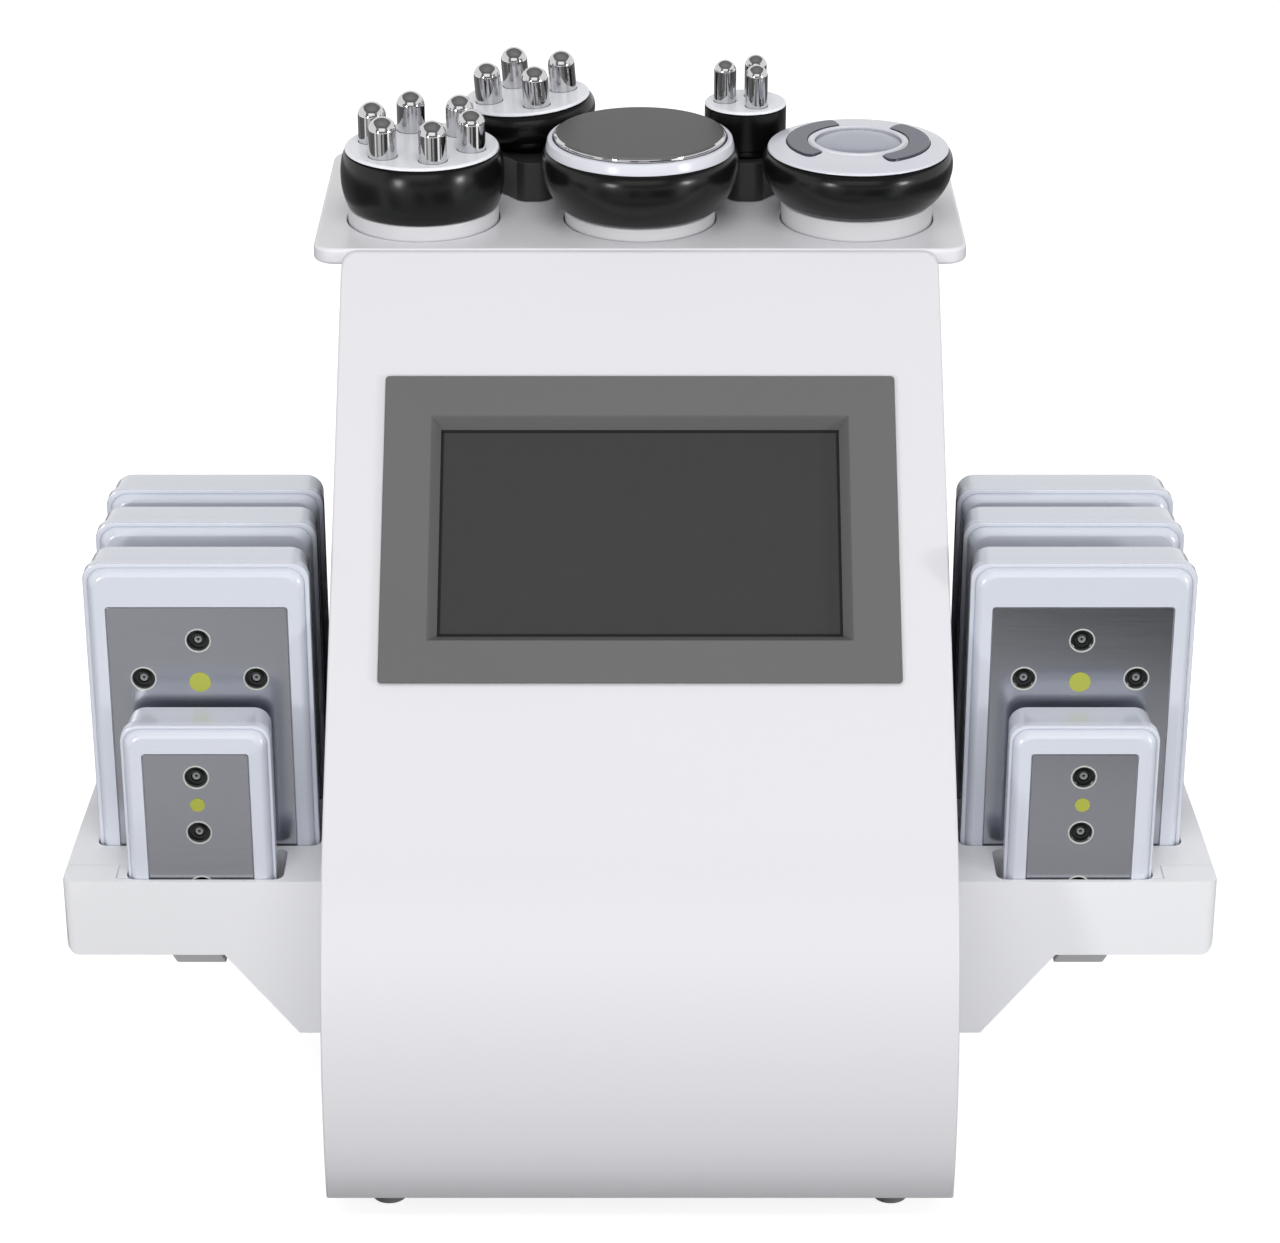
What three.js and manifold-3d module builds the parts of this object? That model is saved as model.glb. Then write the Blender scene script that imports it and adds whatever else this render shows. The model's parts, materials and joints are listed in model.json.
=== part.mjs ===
// Desktop cavitation slimming machine. A wedge-shaped console carries a sloping touch screen, a tray
// of five lift-out treatment heads on top, and a holder with four lift-out laser pads on each side.
//
// Millimetres, +Z up, +X to the right as seen from the front. Places are counted from the front:
// y runs back from the foremost point of the front shell, and z runs up from its bottom edge. The
// finished group is moved so that its origin is the centre of the ground that it stands on.

import * as THREE from 'three';
import { mergeVertices } from 'three/addons/utils/BufferGeometryUtils.js';
import Module from 'manifold-3d';

const wasm = await Module();
wasm.setup();

// Clearances
const fit = 0.3;
const overrun = 3;

// Console shells
const bodyWidth = 240;
const bellyRadius = 155;
const bellyCentreHeight = 28;
const panelLean = THREE.MathUtils.degToRad(46.8);
const panelTopHeight = 304.5;
const skin = 3;
const panelTopCorner = 6;
const shellFootCorner = 3;
const lipThickness = 1.2;
const topFlange = 13.5;
const rearCorner = 8;
const basePlateThickness = 2.5;

// Feet
const footRadius = 8;
const footTipRadius = 7;
const footHeight = 10.7;
const footSideInset = 23;
const footFrontInset = 15.6;
const footRearInset = 22;

// Display set into the sloping panel
const bezelDrop = 56;
const bezelWidth = 201.3;
const bezelHeight = 130;
const bezelProud = 1.5;
const bezelCorner = 1.5;
const viewWidth = 157;
const viewHeight = 87.8;
const recessDepth = 5.6;
const recessFlare = 3.8;
const collarWall = 2;
const displayBorder = 4;
const displayThickness = 5.5;
const boardInset = 6;
const boardThickness = 1.6;
const standoffLength = 8;
const standoffRadius = 2.5;
const standoffInset = 5;
const chipSize = 18;
const chipHeight = 2.4;
const headerLength = 42;
const headerWidth = 6;
const headerHeight = 7;

// Tray on top and the wells under it
const trayRise = 0.5;
const trayThickness = 6.8;
const trayRim = 11.4;
const trayCorner = 9;
const trayRearOverhang = 2;
const seatDepth = 4.5;
const seatClearance = 0.5;
const wellRadius = 24;
const wellWall = 2.5;
const wellDepth = 112;
const rearWellDepth = 84;
const wellGap = 1.8;
const wellSideGap = 1.4;
const wellFrontGap = 1.9;
const wellBackGap = 8.2;
const leadHoleRadius = 6;

// Raised step at the back of the tray
const riserHeight = 16.7;
const riserSetback = 18.6;
const riserRim = 6;
const bayGap = 2.5;

// Treatment heads: shared sizes
const collarRadius = 31;
const collarEdge = 0.8;
const bulbFullness = 0.6;
const neckClearance = 1;
const glandRadius = 5;
const glandLength = 5;
const faceEdge = 0.9;
const faceThickness = 1.5;
const facePlug = 2.5;
const carrierThickness = 2;

// Treatment heads: each one's own sizes, heights counted from the underside of its collar
const sixPole = {
  name: 'six_pole',
  collarRadius,
  collarHeight: 10.2,
  bulbHeight: 22.7,
  bulbFootRadius: 30.5,
  bulbSwell: 2.5,
  rimRadius: 31.6,
  rimWall: 3,
  bowlDepth: 7,
  neckRadius: wellRadius - neckClearance,
  neckLength: 8,
  stemTaper: 22,
  stemRadius: 17,
  stemLength: 100,
  pinCount: 6,
  pinRadius: 5.8,
  pinMargin: 1.6,
  pinHeight: 16.5,
  pinTurn: THREE.MathUtils.degToRad(-15),
};
const cavitation = {
  name: 'cavitation',
  collarRadius,
  collarHeight: 9.2,
  bulbHeight: 24.2,
  bulbFootRadius: 31,
  bulbSwell: 4.9,
  rimRadius: 38.5,
  rimWall: 3.5,
  bowlDepth: 5,
  neckRadius: wellRadius - neckClearance,
  neckLength: 8,
  stemTaper: 24,
  stemRadius: 18,
  stemLength: 100,
  stackRadius: 15,
  stackLength: 18,
  ringHeight: 4.5,
  ringWall: 2.6,
  discProud: 2,
  discThickness: 8,
  discBevel: 1.4,
};
const photon = {
  name: 'photon',
  collarRadius,
  collarHeight: 12.2,
  bulbHeight: 20.5,
  bulbFootRadius: 30.5,
  bulbSwell: 4.4,
  rimRadius: 37,
  rimWall: 3,
  bowlDepth: 7,
  neckRadius: wellRadius - neckClearance,
  neckLength: 8,
  stemTaper: 24,
  stemRadius: 18,
  stemLength: 100,
  faceDome: 2,
  lensRadius: 17.4,
  lensDome: 0.8,
  ridgeWidth: 2.2,
  ridgeHeight: 0.5,
  arcGap: 0.9,
  arcWidth: 8.5,
  arcSpan: THREE.MathUtils.degToRad(118),
  arcTurns: [THREE.MathUtils.degToRad(166.5), THREE.MathUtils.degToRad(-8)],
  arcProud: 0.4,
};
const fourPole = {
  name: 'four_pole',
  collarRadius: 22,
  collarHeight: 3,
  bulbHeight: 12,
  bulbFootRadius: 24.5,
  bulbSwell: 2.8,
  rimRadius: 26.6,
  rimWall: 3,
  bowlDepth: 6,
  neckRadius: 17,
  neckLength: 20,
  stemTaper: 12,
  stemRadius: 12,
  stemLength: 88,
  pinCount: 4,
  pinRadius: 5.6,
  pinMargin: 1.8,
  pinHeight: 16.5,
  pinTurn: THREE.MathUtils.degToRad(17),
  lean: THREE.MathUtils.degToRad(4.5),
  sideGap: 5.6,
  centreGap: 1,
};
const threePole = {
  name: 'three_pole',
  collarRadius: 16.4,
  collarHeight: 3,
  bulbHeight: 15,
  bulbFootRadius: 17,
  bulbSwell: 0,
  rimRadius: 17,
  rimWall: 2.5,
  bowlDepth: 6,
  neckRadius: 13,
  neckLength: 20,
  stemTaper: 6,
  stemRadius: 11.5,
  stemLength: 88,
  pinCount: 3,
  pinRadius: 4.6,
  pinMargin: 1.3,
  pinHeight: 17.5,
  pinTurn: THREE.MathUtils.degToRad(60),
  lean: 0,
  sideGap: 4,
  centreGap: 1.6,
};

// Pads: each size's own values, heights counted from the pad's bottom edge
const largePad = {
  width: 87.4,
  height: 139.1,
  thickness: 24,
  corner: 6.5,
  pocketDepth: 18,
  windowSideInset: 8.7,
  windowTopInset: 17.3,
  windowBottomInset: 8.5,
  diodeTopInset: 14.1,
  diodeRowDrop: 16.3,
  diodeSide: 21.9,
};
const smallPad = {
  width: 58,
  height: 85.1,
  thickness: 24,
  corner: 6,
  pocketDepth: 20,
  windowSideInset: 8.6,
  windowTopInset: 10.8,
  windowBottomInset: 8.5,
  diodeTopInset: 9.9,
  diodeRowDrop: 24.1,
  diodeSide: 0,
};
const padFrontShellShare = 0.34;
const padEdge = 1.5;
const padBackStep = 0.8;
const padBackEdge = 2;
const windowRecess = 1.6;
const windowSink = 0.3;
const diodeRadius = 4.5;
const padGlandRadius = 3.5;
const padGlandLength = 4;

// Pad holders on the sides
const holderFront = 78;
const holderTop = 96.1;
const holderHeight = 32.8;
const holderInnerRim = 7.2;
const holderOuterRim = 10.9;
const holderFrontRim = 2.4;
const holderRearRim = 3.6;
const holderTaper = 4;
const holderWall = 3;
const holderCorner = 5;
const gussetReach = 43.3;
const gussetFoot = 15;
const gussetDrop = 35.7;
const pocketGap = 0.6;
const pocketWall = 2.4;
const pocketCorner = 4;
const largePadGaps = [3.6, 15.5, 9.2];

// Lead clips under the holders
const clipWidth = 24;
const clipGap = 0.6;
const clipSetback = 4;
const clipFlange = 5;
const clipSpan = 14;
const clipDrop = 9.5;
const clipThickness = 1.8;

// Rear wall: fan, sockets, mains inlet and switch
const fanSize = 60;
const fanDepth = 15;
const fanHeight = 112;
const fanWall = 1.8;
const fanCorner = 4;
const fanTipGap = 1;
const fanHubRadius = 12;
const fanMotorThickness = 4;
const fanStrutWidth = 3;
const fanStrutCount = 4;
const fanBladeCount = 7;
const fanBladeThickness = 1.4;
const fanBladePitch = THREE.MathUtils.degToRad(38);
const fanShaftRadius = 2;
const fanShaftClearance = 0.1;
const fanShaftLength = 3;
const grilleSlot = 4;
const grillePitch = 7.6;
const grilleCount = 7;
const handleSocketCount = 5;
const handleSocketInset = 40;
const handleSocketHeight = 166;
const handleSocketRadius = 7.5;
const padSocketColumns = 2;
const padSocketRows = 4;
const padSocketPitch = 24;
const padSocketInset = 38;
const padSocketTop = 132;
const padSocketRadius = 5;
const socketProud = 4;
const socketFaceSink = 1;
const socketFaceShare = 0.72;
const socketBodyLength = 8;
const socketBoardRim = 6;
const inletInset = 44;
const inletHeight = 42;
const inletFlangeWidth = 52;
const inletFlangeHeight = 32;
const inletFlangeThickness = 2.5;
const inletFlangeCorner = 3;
const inletFlangeRim = 2.5;
const inletBodyLength = 20;
const inletMouthWidth = 24;
const inletMouthHeight = 16.5;
const inletMouthDepth = 15;
const inletMouthSide = -9.5;
const switchBayWidth = 13;
const switchBayHeight = 20;
const switchBayDepth = 12;
const switchBaySide = 14;
const rockerPivotDepth = 5;
const rockerTilt = THREE.MathUtils.degToRad(8);
const rockerEndGap = 1;
const rockerCrown = 2;
const rockerRise = 1.2;
const rockerSkirt = 1;
const rockerKeel = 6;
const rockerKeelHalfWidth = 2;
const ventCount = 6;
const ventHeight = 4;
const ventPitch = 9;
const ventBottom = 60;
const ventEndInset = 24;

// Mains supply on the base plate
const supplyWidth = 120;
const supplyLength = 80;
const supplyHeight = 42;
const supplyFrontInset = 150;
const supplyInset = 30;
const terminalLength = 60;
const terminalWidth = 12;
const terminalHeight = 14;

// Smoothness
const wideSegments = 22;
const stemSegments = 16;
const pinSegments = 8;
const smallSegments = 8;
const bellySegments = 16;
const cornerSegments = 2;
const bulbSteps = 4;
const domeSteps = 2;

// Places that follow from the sizes above
const halfWidth = bodyWidth / 2;
const tangentDepth = bellyRadius * (1 - Math.cos(panelLean));
const tangentHeight = bellyCentreHeight + bellyRadius * Math.sin(panelLean);
const panelTopDepth = tangentDepth + (panelTopHeight - tangentHeight) * Math.tan(panelLean);
const partingDepth = panelTopDepth + topFlange;
const trayTop = panelTopHeight + trayRise;
const trayBottom = trayTop - trayThickness;
const trayFront = panelTopDepth + lipThickness + fit;
const seatFloor = trayTop - seatDepth;
const wellOuter = wellRadius + wellWall;
const frontRow = partingDepth + wellFrontGap + wellOuter;
const sideHead = halfWidth - skin - wellSideGap - wellOuter;
const seatRadius = collarRadius + seatClearance;
const trayHalfWidth = sideHead + seatRadius + trayRim;
const riserTop = trayTop + fit + riserHeight;
const fourPolePlace = placeBehind(-sideHead, sixPole, cavitation, fourPole);
const threePolePlace = placeBehind(sideHead, photon, cavitation, threePole);
const fourPoleWell = rearWellRadius(fourPole);
const threePoleWell = rearWellRadius(threePole);
const rearmostWell = Math.max(
  frontRow + wellOuter,
  fourPolePlace.y + fourPoleWell + wellWall,
  threePolePlace.y + threePoleWell + wellWall,
);
const bodyDepth = rearmostWell + wellBackGap + skin;
const trayRear = bodyDepth + trayRearOverhang;
const bayRadius = bulbRadius(cavitation) + bayGap;
const rearInside = bodyDepth - skin;
const inletSide = halfWidth - inletInset;
const supplySide = supplyInset + supplyWidth / 2 - halfWidth;

// Widest radius of a head's bulb, whose side swells out between its foot and its rim
function bulbRadius(head) {
  return Math.max(...bulbSide(head).map((point) => point.x));
}

// Outline points up the side of a bulb
function bulbSide(head) {
  const foot = head.collarHeight + fit;
  const points = [];
  for (let step = 0; step <= bulbSteps; step += 1) {
    const rise = step / bulbSteps;
    const straight = head.bulbFootRadius + (head.rimRadius - head.bulbFootRadius) * rise;
    const swell = head.bulbSwell * Math.max(Math.sin(Math.PI * rise), 0) ** bulbFullness;
    points.push(new THREE.Vector2(straight + swell, foot + head.bulbHeight * rise));
  }
  return points;
}

// A rear head stands where it clears the outer and the middle front head by its own two gaps
function placeBehind(outerX, outerHead, middleHead, rearHead) {
  const span = Math.abs(outerX);
  const toOuter = bulbRadius(outerHead) + bulbRadius(rearHead) + rearHead.sideGap;
  const toMiddle = bulbRadius(middleHead) + bulbRadius(rearHead) + rearHead.centreGap;
  const inward = (toOuter ** 2 - toMiddle ** 2 + span ** 2) / (2 * span);
  const back = Math.sqrt(toOuter ** 2 - inward ** 2);
  return { x: Math.sign(outerX) * (span - inward), y: frontRow + back };
}

// How far a leaning head's centre line moves sideways over a length of it
function swing(head, length) {
  return length * Math.sin(head.lean);
}

function leanLift(head) {
  return swing(head, head.collarRadius);
}

function rearWellRadius(head) {
  const stem = head.stemRadius + swing(head, head.stemLength);
  const neck = head.neckRadius + swing(head, head.neckLength);
  return Math.max(stem, neck) + wellGap;
}

function riserHoleRadius(head) {
  return head.neckRadius + swing(head, riserHeight + leanLift(head)) + wellGap;
}

// Geometry helpers

// Merge a geometry's shared corners, and turn its faces outwards whichever way it was drawn
function welded(geometry) {
  const bare = geometry.clone();
  bare.deleteAttribute('normal');
  bare.deleteAttribute('uv');
  const merged = mergeVertices(bare);
  const corners = [new THREE.Vector3(), new THREE.Vector3(), new THREE.Vector3()];
  const position = merged.attributes.position;
  const index = merged.index.array;
  let volume = 0;
  for (let face = 0; face < index.length; face += 3) {
    corners.forEach((corner, side) => corner.fromBufferAttribute(position, index[face + side]));
    volume += corners[0].dot(corners[1].clone().cross(corners[2]));
  }
  if (volume < 0) {
    for (let face = 0; face < index.length; face += 3) {
      [index[face], index[face + 1]] = [index[face + 1], index[face]];
    }
  }
  return merged;
}

function solid(geometry) {
  const merged = welded(geometry);
  return new wasm.Manifold(
    new wasm.Mesh({
      numProp: 3,
      vertProperties: new Float32Array(merged.attributes.position.array),
      triVerts: new Uint32Array(merged.index.array),
    }),
  );
}

function geometryOf(shape) {
  const mesh = shape.getMesh();
  const geometry = new THREE.BufferGeometry();
  geometry.setAttribute('position', new THREE.BufferAttribute(mesh.vertProperties, mesh.numProp));
  geometry.setIndex(new THREE.BufferAttribute(mesh.triVerts, 1));
  return geometry;
}

function mirrored(geometry) {
  const copy = geometry.clone().applyMatrix4(new THREE.Matrix4().makeScale(-1, 1, 1));
  return welded(copy);
}

function outline(points) {
  return new THREE.Shape(points.map(([x, y]) => new THREE.Vector2(x, y)));
}

function roundedRectangle(width, height, corner) {
  const x = width / 2 - corner;
  const y = height / 2 - corner;
  const quarter = Math.PI / 2;
  const shape = new THREE.Shape();
  shape.absarc(x, y, corner, 0, quarter, false);
  shape.absarc(-x, y, corner, quarter, 2 * quarter, false);
  shape.absarc(-x, -y, corner, 2 * quarter, 3 * quarter, false);
  shape.absarc(x, -y, corner, 3 * quarter, 4 * quarter, false);
  return shape;
}

function extruded(shape, depth, options = {}) {
  return new THREE.ExtrudeGeometry(shape, {
    depth,
    steps: 1,
    bevelEnabled: false,
    curveSegments: cornerSegments,
    ...options,
  });
}

// A plan outline (x, y) raised from one height to another
function raised(shape, bottom, top, options) {
  return extruded(shape, top - bottom, options).translate(0, 0, bottom);
}

// A side outline (y, z) drawn out across the machine
function drawnAcross(shape, width, options) {
  const turn = new THREE.Matrix4().makeBasis(
    new THREE.Vector3(0, 1, 0),
    new THREE.Vector3(0, 0, 1),
    new THREE.Vector3(1, 0, 0),
  );
  return extruded(shape, width, options).translate(0, 0, -width / 2).applyMatrix4(turn);
}

// A front outline (x, z) drawn out from one depth to another
function drawnBack(shape, front, back, options) {
  const turn = new THREE.Matrix4().makeBasis(
    new THREE.Vector3(1, 0, 0),
    new THREE.Vector3(0, 0, 1),
    new THREE.Vector3(0, -1, 0),
  );
  return extruded(shape, back - front, options).applyMatrix4(turn).translate(0, back, 0);
}

function block(width, length, height) {
  return new THREE.BoxGeometry(width, length, height);
}

function blockBetween(low, high) {
  const size = high.map((value, axis) => value - low[axis]);
  const middle = high.map((value, axis) => (value + low[axis]) / 2);
  return block(...size).translate(...middle);
}

function upright(radius, bottom, top, segments, topRadius = radius) {
  const bar = new THREE.CylinderGeometry(topRadius, radius, top - bottom, segments);
  return bar.rotateX(Math.PI / 2).translate(0, 0, (top + bottom) / 2);
}

// A bar that points straight back
function level(radius, front, back, segments) {
  const bar = new THREE.CylinderGeometry(radius, radius, back - front, segments);
  return bar.translate(0, (back + front) / 2, 0);
}

// A profile of (radius, height) points turned about the Z axis
function turned(points, segments) {
  const profile = points.map((point) => (Array.isArray(point) ? new THREE.Vector2(...point) : point));
  return new THREE.LatheGeometry(profile, segments).rotateX(Math.PI / 2);
}

function joined(first, ...others) {
  return others.reduce((whole, other) => whole.add(other), first);
}

function cut(first, ...others) {
  return others.reduce((whole, other) => whole.subtract(other), first);
}

// Finishes
const finishes = {
  glossWhite: new THREE.MeshStandardMaterial({ color: '#e4e3e8', roughness: 0.22 }),
  trayWhite: new THREE.MeshStandardMaterial({ color: '#d6d6da', roughness: 0.35 }),
  holderWhite: new THREE.MeshStandardMaterial({ color: '#dfe0e4', roughness: 0.35 }),
  padWhite: new THREE.MeshStandardMaterial({ color: '#d6dae4', roughness: 0.2 }),
  capWhite: new THREE.MeshStandardMaterial({ color: '#d9dae6', roughness: 0.25 }),
  bezelGrey: new THREE.MeshStandardMaterial({ color: '#727272', roughness: 0.5 }),
  screenGlass: new THREE.MeshStandardMaterial({ color: '#444444', roughness: 0.15 }),
  riserGrey: new THREE.MeshStandardMaterial({ color: '#2f2f31', roughness: 0.4 }),
  gripBlack: new THREE.MeshStandardMaterial({ color: '#1b1b1b', roughness: 0.2 }),
  chrome: new THREE.MeshStandardMaterial({ color: '#d0d0d0', roughness: 0.08, metalness: 1 }),
  plateSilver: new THREE.MeshStandardMaterial({ color: '#84878e', roughness: 0.4, metalness: 0.8 }),
  discSteel: new THREE.MeshStandardMaterial({ color: '#8a8a8a', roughness: 0.3, metalness: 1 }),
  lensBlue: new THREE.MeshStandardMaterial({ color: '#a7abb7', roughness: 0.15 }),
  rubber: new THREE.MeshStandardMaterial({ color: '#929292', roughness: 0.8 }),
  clipGrey: new THREE.MeshStandardMaterial({ color: '#a6a6a6', roughness: 0.4 }),
  boardGreen: new THREE.MeshStandardMaterial({ color: '#1f5a37', roughness: 0.6 }),
  supplySteel: new THREE.MeshStandardMaterial({ color: '#a9adb0', roughness: 0.4, metalness: 1 }),
  fanBlack: new THREE.MeshStandardMaterial({ color: '#202022', roughness: 0.5 }),
  inletBlack: new THREE.MeshStandardMaterial({ color: '#18181a', roughness: 0.45 }),
};

function piece(name, shape, material) {
  const geometry = shape.isBufferGeometry ? welded(shape) : geometryOf(shape);
  const mesh = new THREE.Mesh(geometry, material);
  mesh.name = name;
  return mesh;
}

function assembly(...members) {
  return new THREE.Group().add(...members);
}

// The frame of the sloping panel: origin at the middle of its top edge, x across, y up the slope,
// z out of the panel
const panelTurn = Math.PI / 2 - panelLean;
const panelFrame = new THREE.Matrix4()
  .makeRotationX(panelTurn)
  .setPosition(0, panelTopDepth, panelTopHeight);
const bezelCentre = -bezelDrop - bezelHeight / 2;
const recessWidth = viewWidth + 2 * recessFlare;
const recessHeight = viewHeight + 2 * recessFlare;
const collarWidth = recessWidth + 2 * collarWall;
const collarHeight = recessHeight + 2 * collarWall;
const bezelTop = fit + bezelProud;
const collarBottom = bezelTop - recessDepth;
const displayTop = collarBottom - fit;
const displayBack = displayTop - displayThickness;

// Side outline of the console's front, set in from the outer skin
function frontOutline(inset, bottom, top, back) {
  const radius = bellyRadius - inset;
  const low = Math.PI + Math.asin((bellyCentreHeight - bottom) / radius);
  const startDepth = bellyRadius - radius * Math.cos(panelLean);
  const startHeight = bellyCentreHeight + radius * Math.sin(panelLean);
  const shape = new THREE.Shape();
  shape.absarc(bellyRadius, bellyCentreHeight, radius, low, Math.PI - panelLean, true);
  shape.lineTo(startDepth + (top - startHeight) * Math.tan(panelLean), top);
  shape.lineTo(back, top);
  shape.lineTo(back, bottom);
  return shape;
}

function frontShell() {
  const smooth = { curveSegments: bellySegments };
  const outer = solid(drawnAcross(frontOutline(0, 0, panelTopHeight, partingDepth), bodyWidth, smooth));
  const facade = new THREE.Shape();
  const topCorner = halfWidth - panelTopCorner;
  const footCorner = halfWidth - shellFootCorner;
  const quarter = Math.PI / 2;
  facade.absarc(topCorner, panelTopHeight - panelTopCorner, panelTopCorner, 0, quarter, false);
  facade.absarc(-topCorner, panelTopHeight - panelTopCorner, panelTopCorner, quarter, 2 * quarter, false);
  facade.absarc(-footCorner, shellFootCorner, shellFootCorner, 2 * quarter, 3 * quarter, false);
  facade.absarc(footCorner, shellFootCorner, shellFootCorner, 3 * quarter, 4 * quarter, false);
  const rounded = outer.intersect(solid(drawnBack(facade, -overrun, partingDepth + overrun)));
  const ceiling = trayBottom - fit - skin;
  const inside = frontOutline(skin, -overrun, ceiling, partingDepth + overrun);
  const trayRelief = blockBetween(
    [-bodyWidth, trayFront - fit, trayBottom - fit],
    [bodyWidth, partingDepth + overrun, panelTopHeight + overrun],
  );
  const aperture = block(collarWidth + 2 * fit, collarHeight + 2 * fit, 2 * (skin + overrun));
  aperture.translate(0, bezelCentre, 0).applyMatrix4(panelFrame);
  return cut(
    rounded,
    solid(drawnAcross(inside, bodyWidth - 2 * skin, smooth)),
    solid(trayRelief),
    solid(aperture),
  );
}

function grilleSlots() {
  const reach = fanSize / 2 - fanWall - fanTipGap;
  const slots = [];
  for (let row = 0; row < grilleCount; row += 1) {
    const offset = (row - (grilleCount - 1) / 2) * grillePitch;
    const edge = Math.abs(offset) + grilleSlot / 2;
    if (edge < reach) {
      const half = Math.sqrt(reach ** 2 - edge ** 2);
      slots.push(
        blockBetween(
          [-half, rearInside - overrun, fanHeight + offset - grilleSlot / 2],
          [half, bodyDepth + overrun, fanHeight + offset + grilleSlot / 2],
        ),
      );
    }
  }
  return slots;
}

function sideVents() {
  const vents = [];
  for (let row = 0; row < ventCount; row += 1) {
    const bottom = ventBottom + row * ventPitch;
    vents.push(
      blockBetween(
        [-bodyWidth, partingDepth + ventEndInset, bottom],
        [bodyWidth, bodyDepth - ventEndInset, bottom + ventHeight],
      ),
    );
  }
  return vents;
}

function handleSocketPlaces() {
  const places = [];
  for (let column = 0; column < handleSocketCount; column += 1) {
    const share = column / (handleSocketCount - 1) - 1 / 2;
    places.push({ x: share * (bodyWidth - 2 * handleSocketInset), z: handleSocketHeight });
  }
  return places;
}

function padSocketPlaces() {
  const places = [];
  for (let row = 0; row < padSocketRows; row += 1) {
    for (let column = 0; column < padSocketColumns; column += 1) {
      const across = (column - (padSocketColumns - 1) / 2) * padSocketPitch;
      places.push({ x: padSocketInset - halfWidth + across, z: padSocketTop - row * padSocketPitch });
    }
  }
  return places;
}

function socketHoles(places, radius) {
  return places.map(({ x, z }) =>
    level(radius + fit, rearInside - overrun, bodyDepth + overrun, smallSegments).translate(x, 0, z),
  );
}

const inletBodyWidth = inletFlangeWidth - 2 * inletFlangeRim;
const inletBodyHeight = inletFlangeHeight - 2 * inletFlangeRim;

function rearHousing() {
  const top = trayBottom - fit;
  const front = partingDepth + fit;
  const back = new THREE.Shape();
  const quarter = Math.PI / 2;
  back.moveTo(-halfWidth, front);
  back.lineTo(halfWidth, front);
  back.absarc(halfWidth - rearCorner, bodyDepth - rearCorner, rearCorner, 0, quarter, false);
  back.absarc(rearCorner - halfWidth, bodyDepth - rearCorner, rearCorner, quarter, 2 * quarter, false);
  const room = blockBetween(
    [skin - halfWidth, front - overrun, -overrun],
    [halfWidth - skin, rearInside, top + overrun],
  );
  const inletHole = blockBetween(
    [inletSide - inletBodyWidth / 2 - fit, rearInside - overrun, inletHeight - inletBodyHeight / 2 - fit],
    [inletSide + inletBodyWidth / 2 + fit, bodyDepth + overrun, inletHeight + inletBodyHeight / 2 + fit],
  );
  const openings = [
    room,
    inletHole,
    ...grilleSlots(),
    ...sideVents(),
    ...socketHoles(handleSocketPlaces(), handleSocketRadius),
    ...socketHoles(padSocketPlaces(), padSocketRadius),
  ];
  return cut(solid(raised(back, 0, top)), ...openings.map(solid));
}

const baseFront = bellyRadius - Math.sqrt((bellyRadius - skin) ** 2 - bellyCentreHeight ** 2) + fit;

function basePlate() {
  const low = [skin + fit - halfWidth, baseFront, 0];
  const high = [halfWidth - skin - fit, rearInside - fit, basePlateThickness];
  return blockBetween(low, high);
}

function foot() {
  return turned(
    [
      [0, -fit - footHeight],
      [footTipRadius, -fit - footHeight],
      [footRadius, -fit],
      [0, -fit],
    ],
    smallSegments,
  );
}

function feet() {
  const rows = { front: baseFront + footFrontInset, rear: rearInside - footRearInset };
  const sides = { left: footSideInset - halfWidth, right: halfWidth - footSideInset };
  const group = new THREE.Group();
  for (const [row, y] of Object.entries(rows)) {
    for (const [side, x] of Object.entries(sides)) {
      const mesh = piece(`foot_${row}_${side}`, foot(), finishes.rubber);
      mesh.position.set(x, y, 0);
      group.add(mesh);
    }
  }
  return group;
}

// A funnel with a rectangular mouth, wider at its top than at its bottom
function funnel(topWidth, topHeight, flare, bottom, top) {
  const geometry = block(topWidth, topHeight, top - bottom);
  const position = geometry.attributes.position;
  for (let corner = 0; corner < position.count; corner += 1) {
    if (position.getZ(corner) < 0) {
      position.setX(corner, position.getX(corner) - Math.sign(position.getX(corner)) * flare);
      position.setY(corner, position.getY(corner) - Math.sign(position.getY(corner)) * flare);
    }
  }
  return geometry.translate(0, 0, (top + bottom) / 2);
}

function screenBezel() {
  const flange = solid(raised(roundedRectangle(bezelWidth, bezelHeight, bezelCorner), fit, bezelTop));
  const collar = solid(
    blockBetween(
      [-collarWidth / 2, -collarHeight / 2, collarBottom],
      [collarWidth / 2, collarHeight / 2, bezelTop],
    ),
  );
  const view = blockBetween(
    [-viewWidth / 2, -viewHeight / 2, collarBottom - overrun],
    [viewWidth / 2, viewHeight / 2, bezelTop],
  );
  const flare = funnel(recessWidth, recessHeight, recessFlare, collarBottom, bezelTop);
  return cut(joined(flange, collar), solid(view), solid(flare));
}

function touchScreen() {
  const width = viewWidth + 2 * displayBorder;
  const height = viewHeight + 2 * displayBorder;
  return blockBetween([-width / 2, -height / 2, displayBack], [width / 2, height / 2, displayTop]);
}

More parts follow.
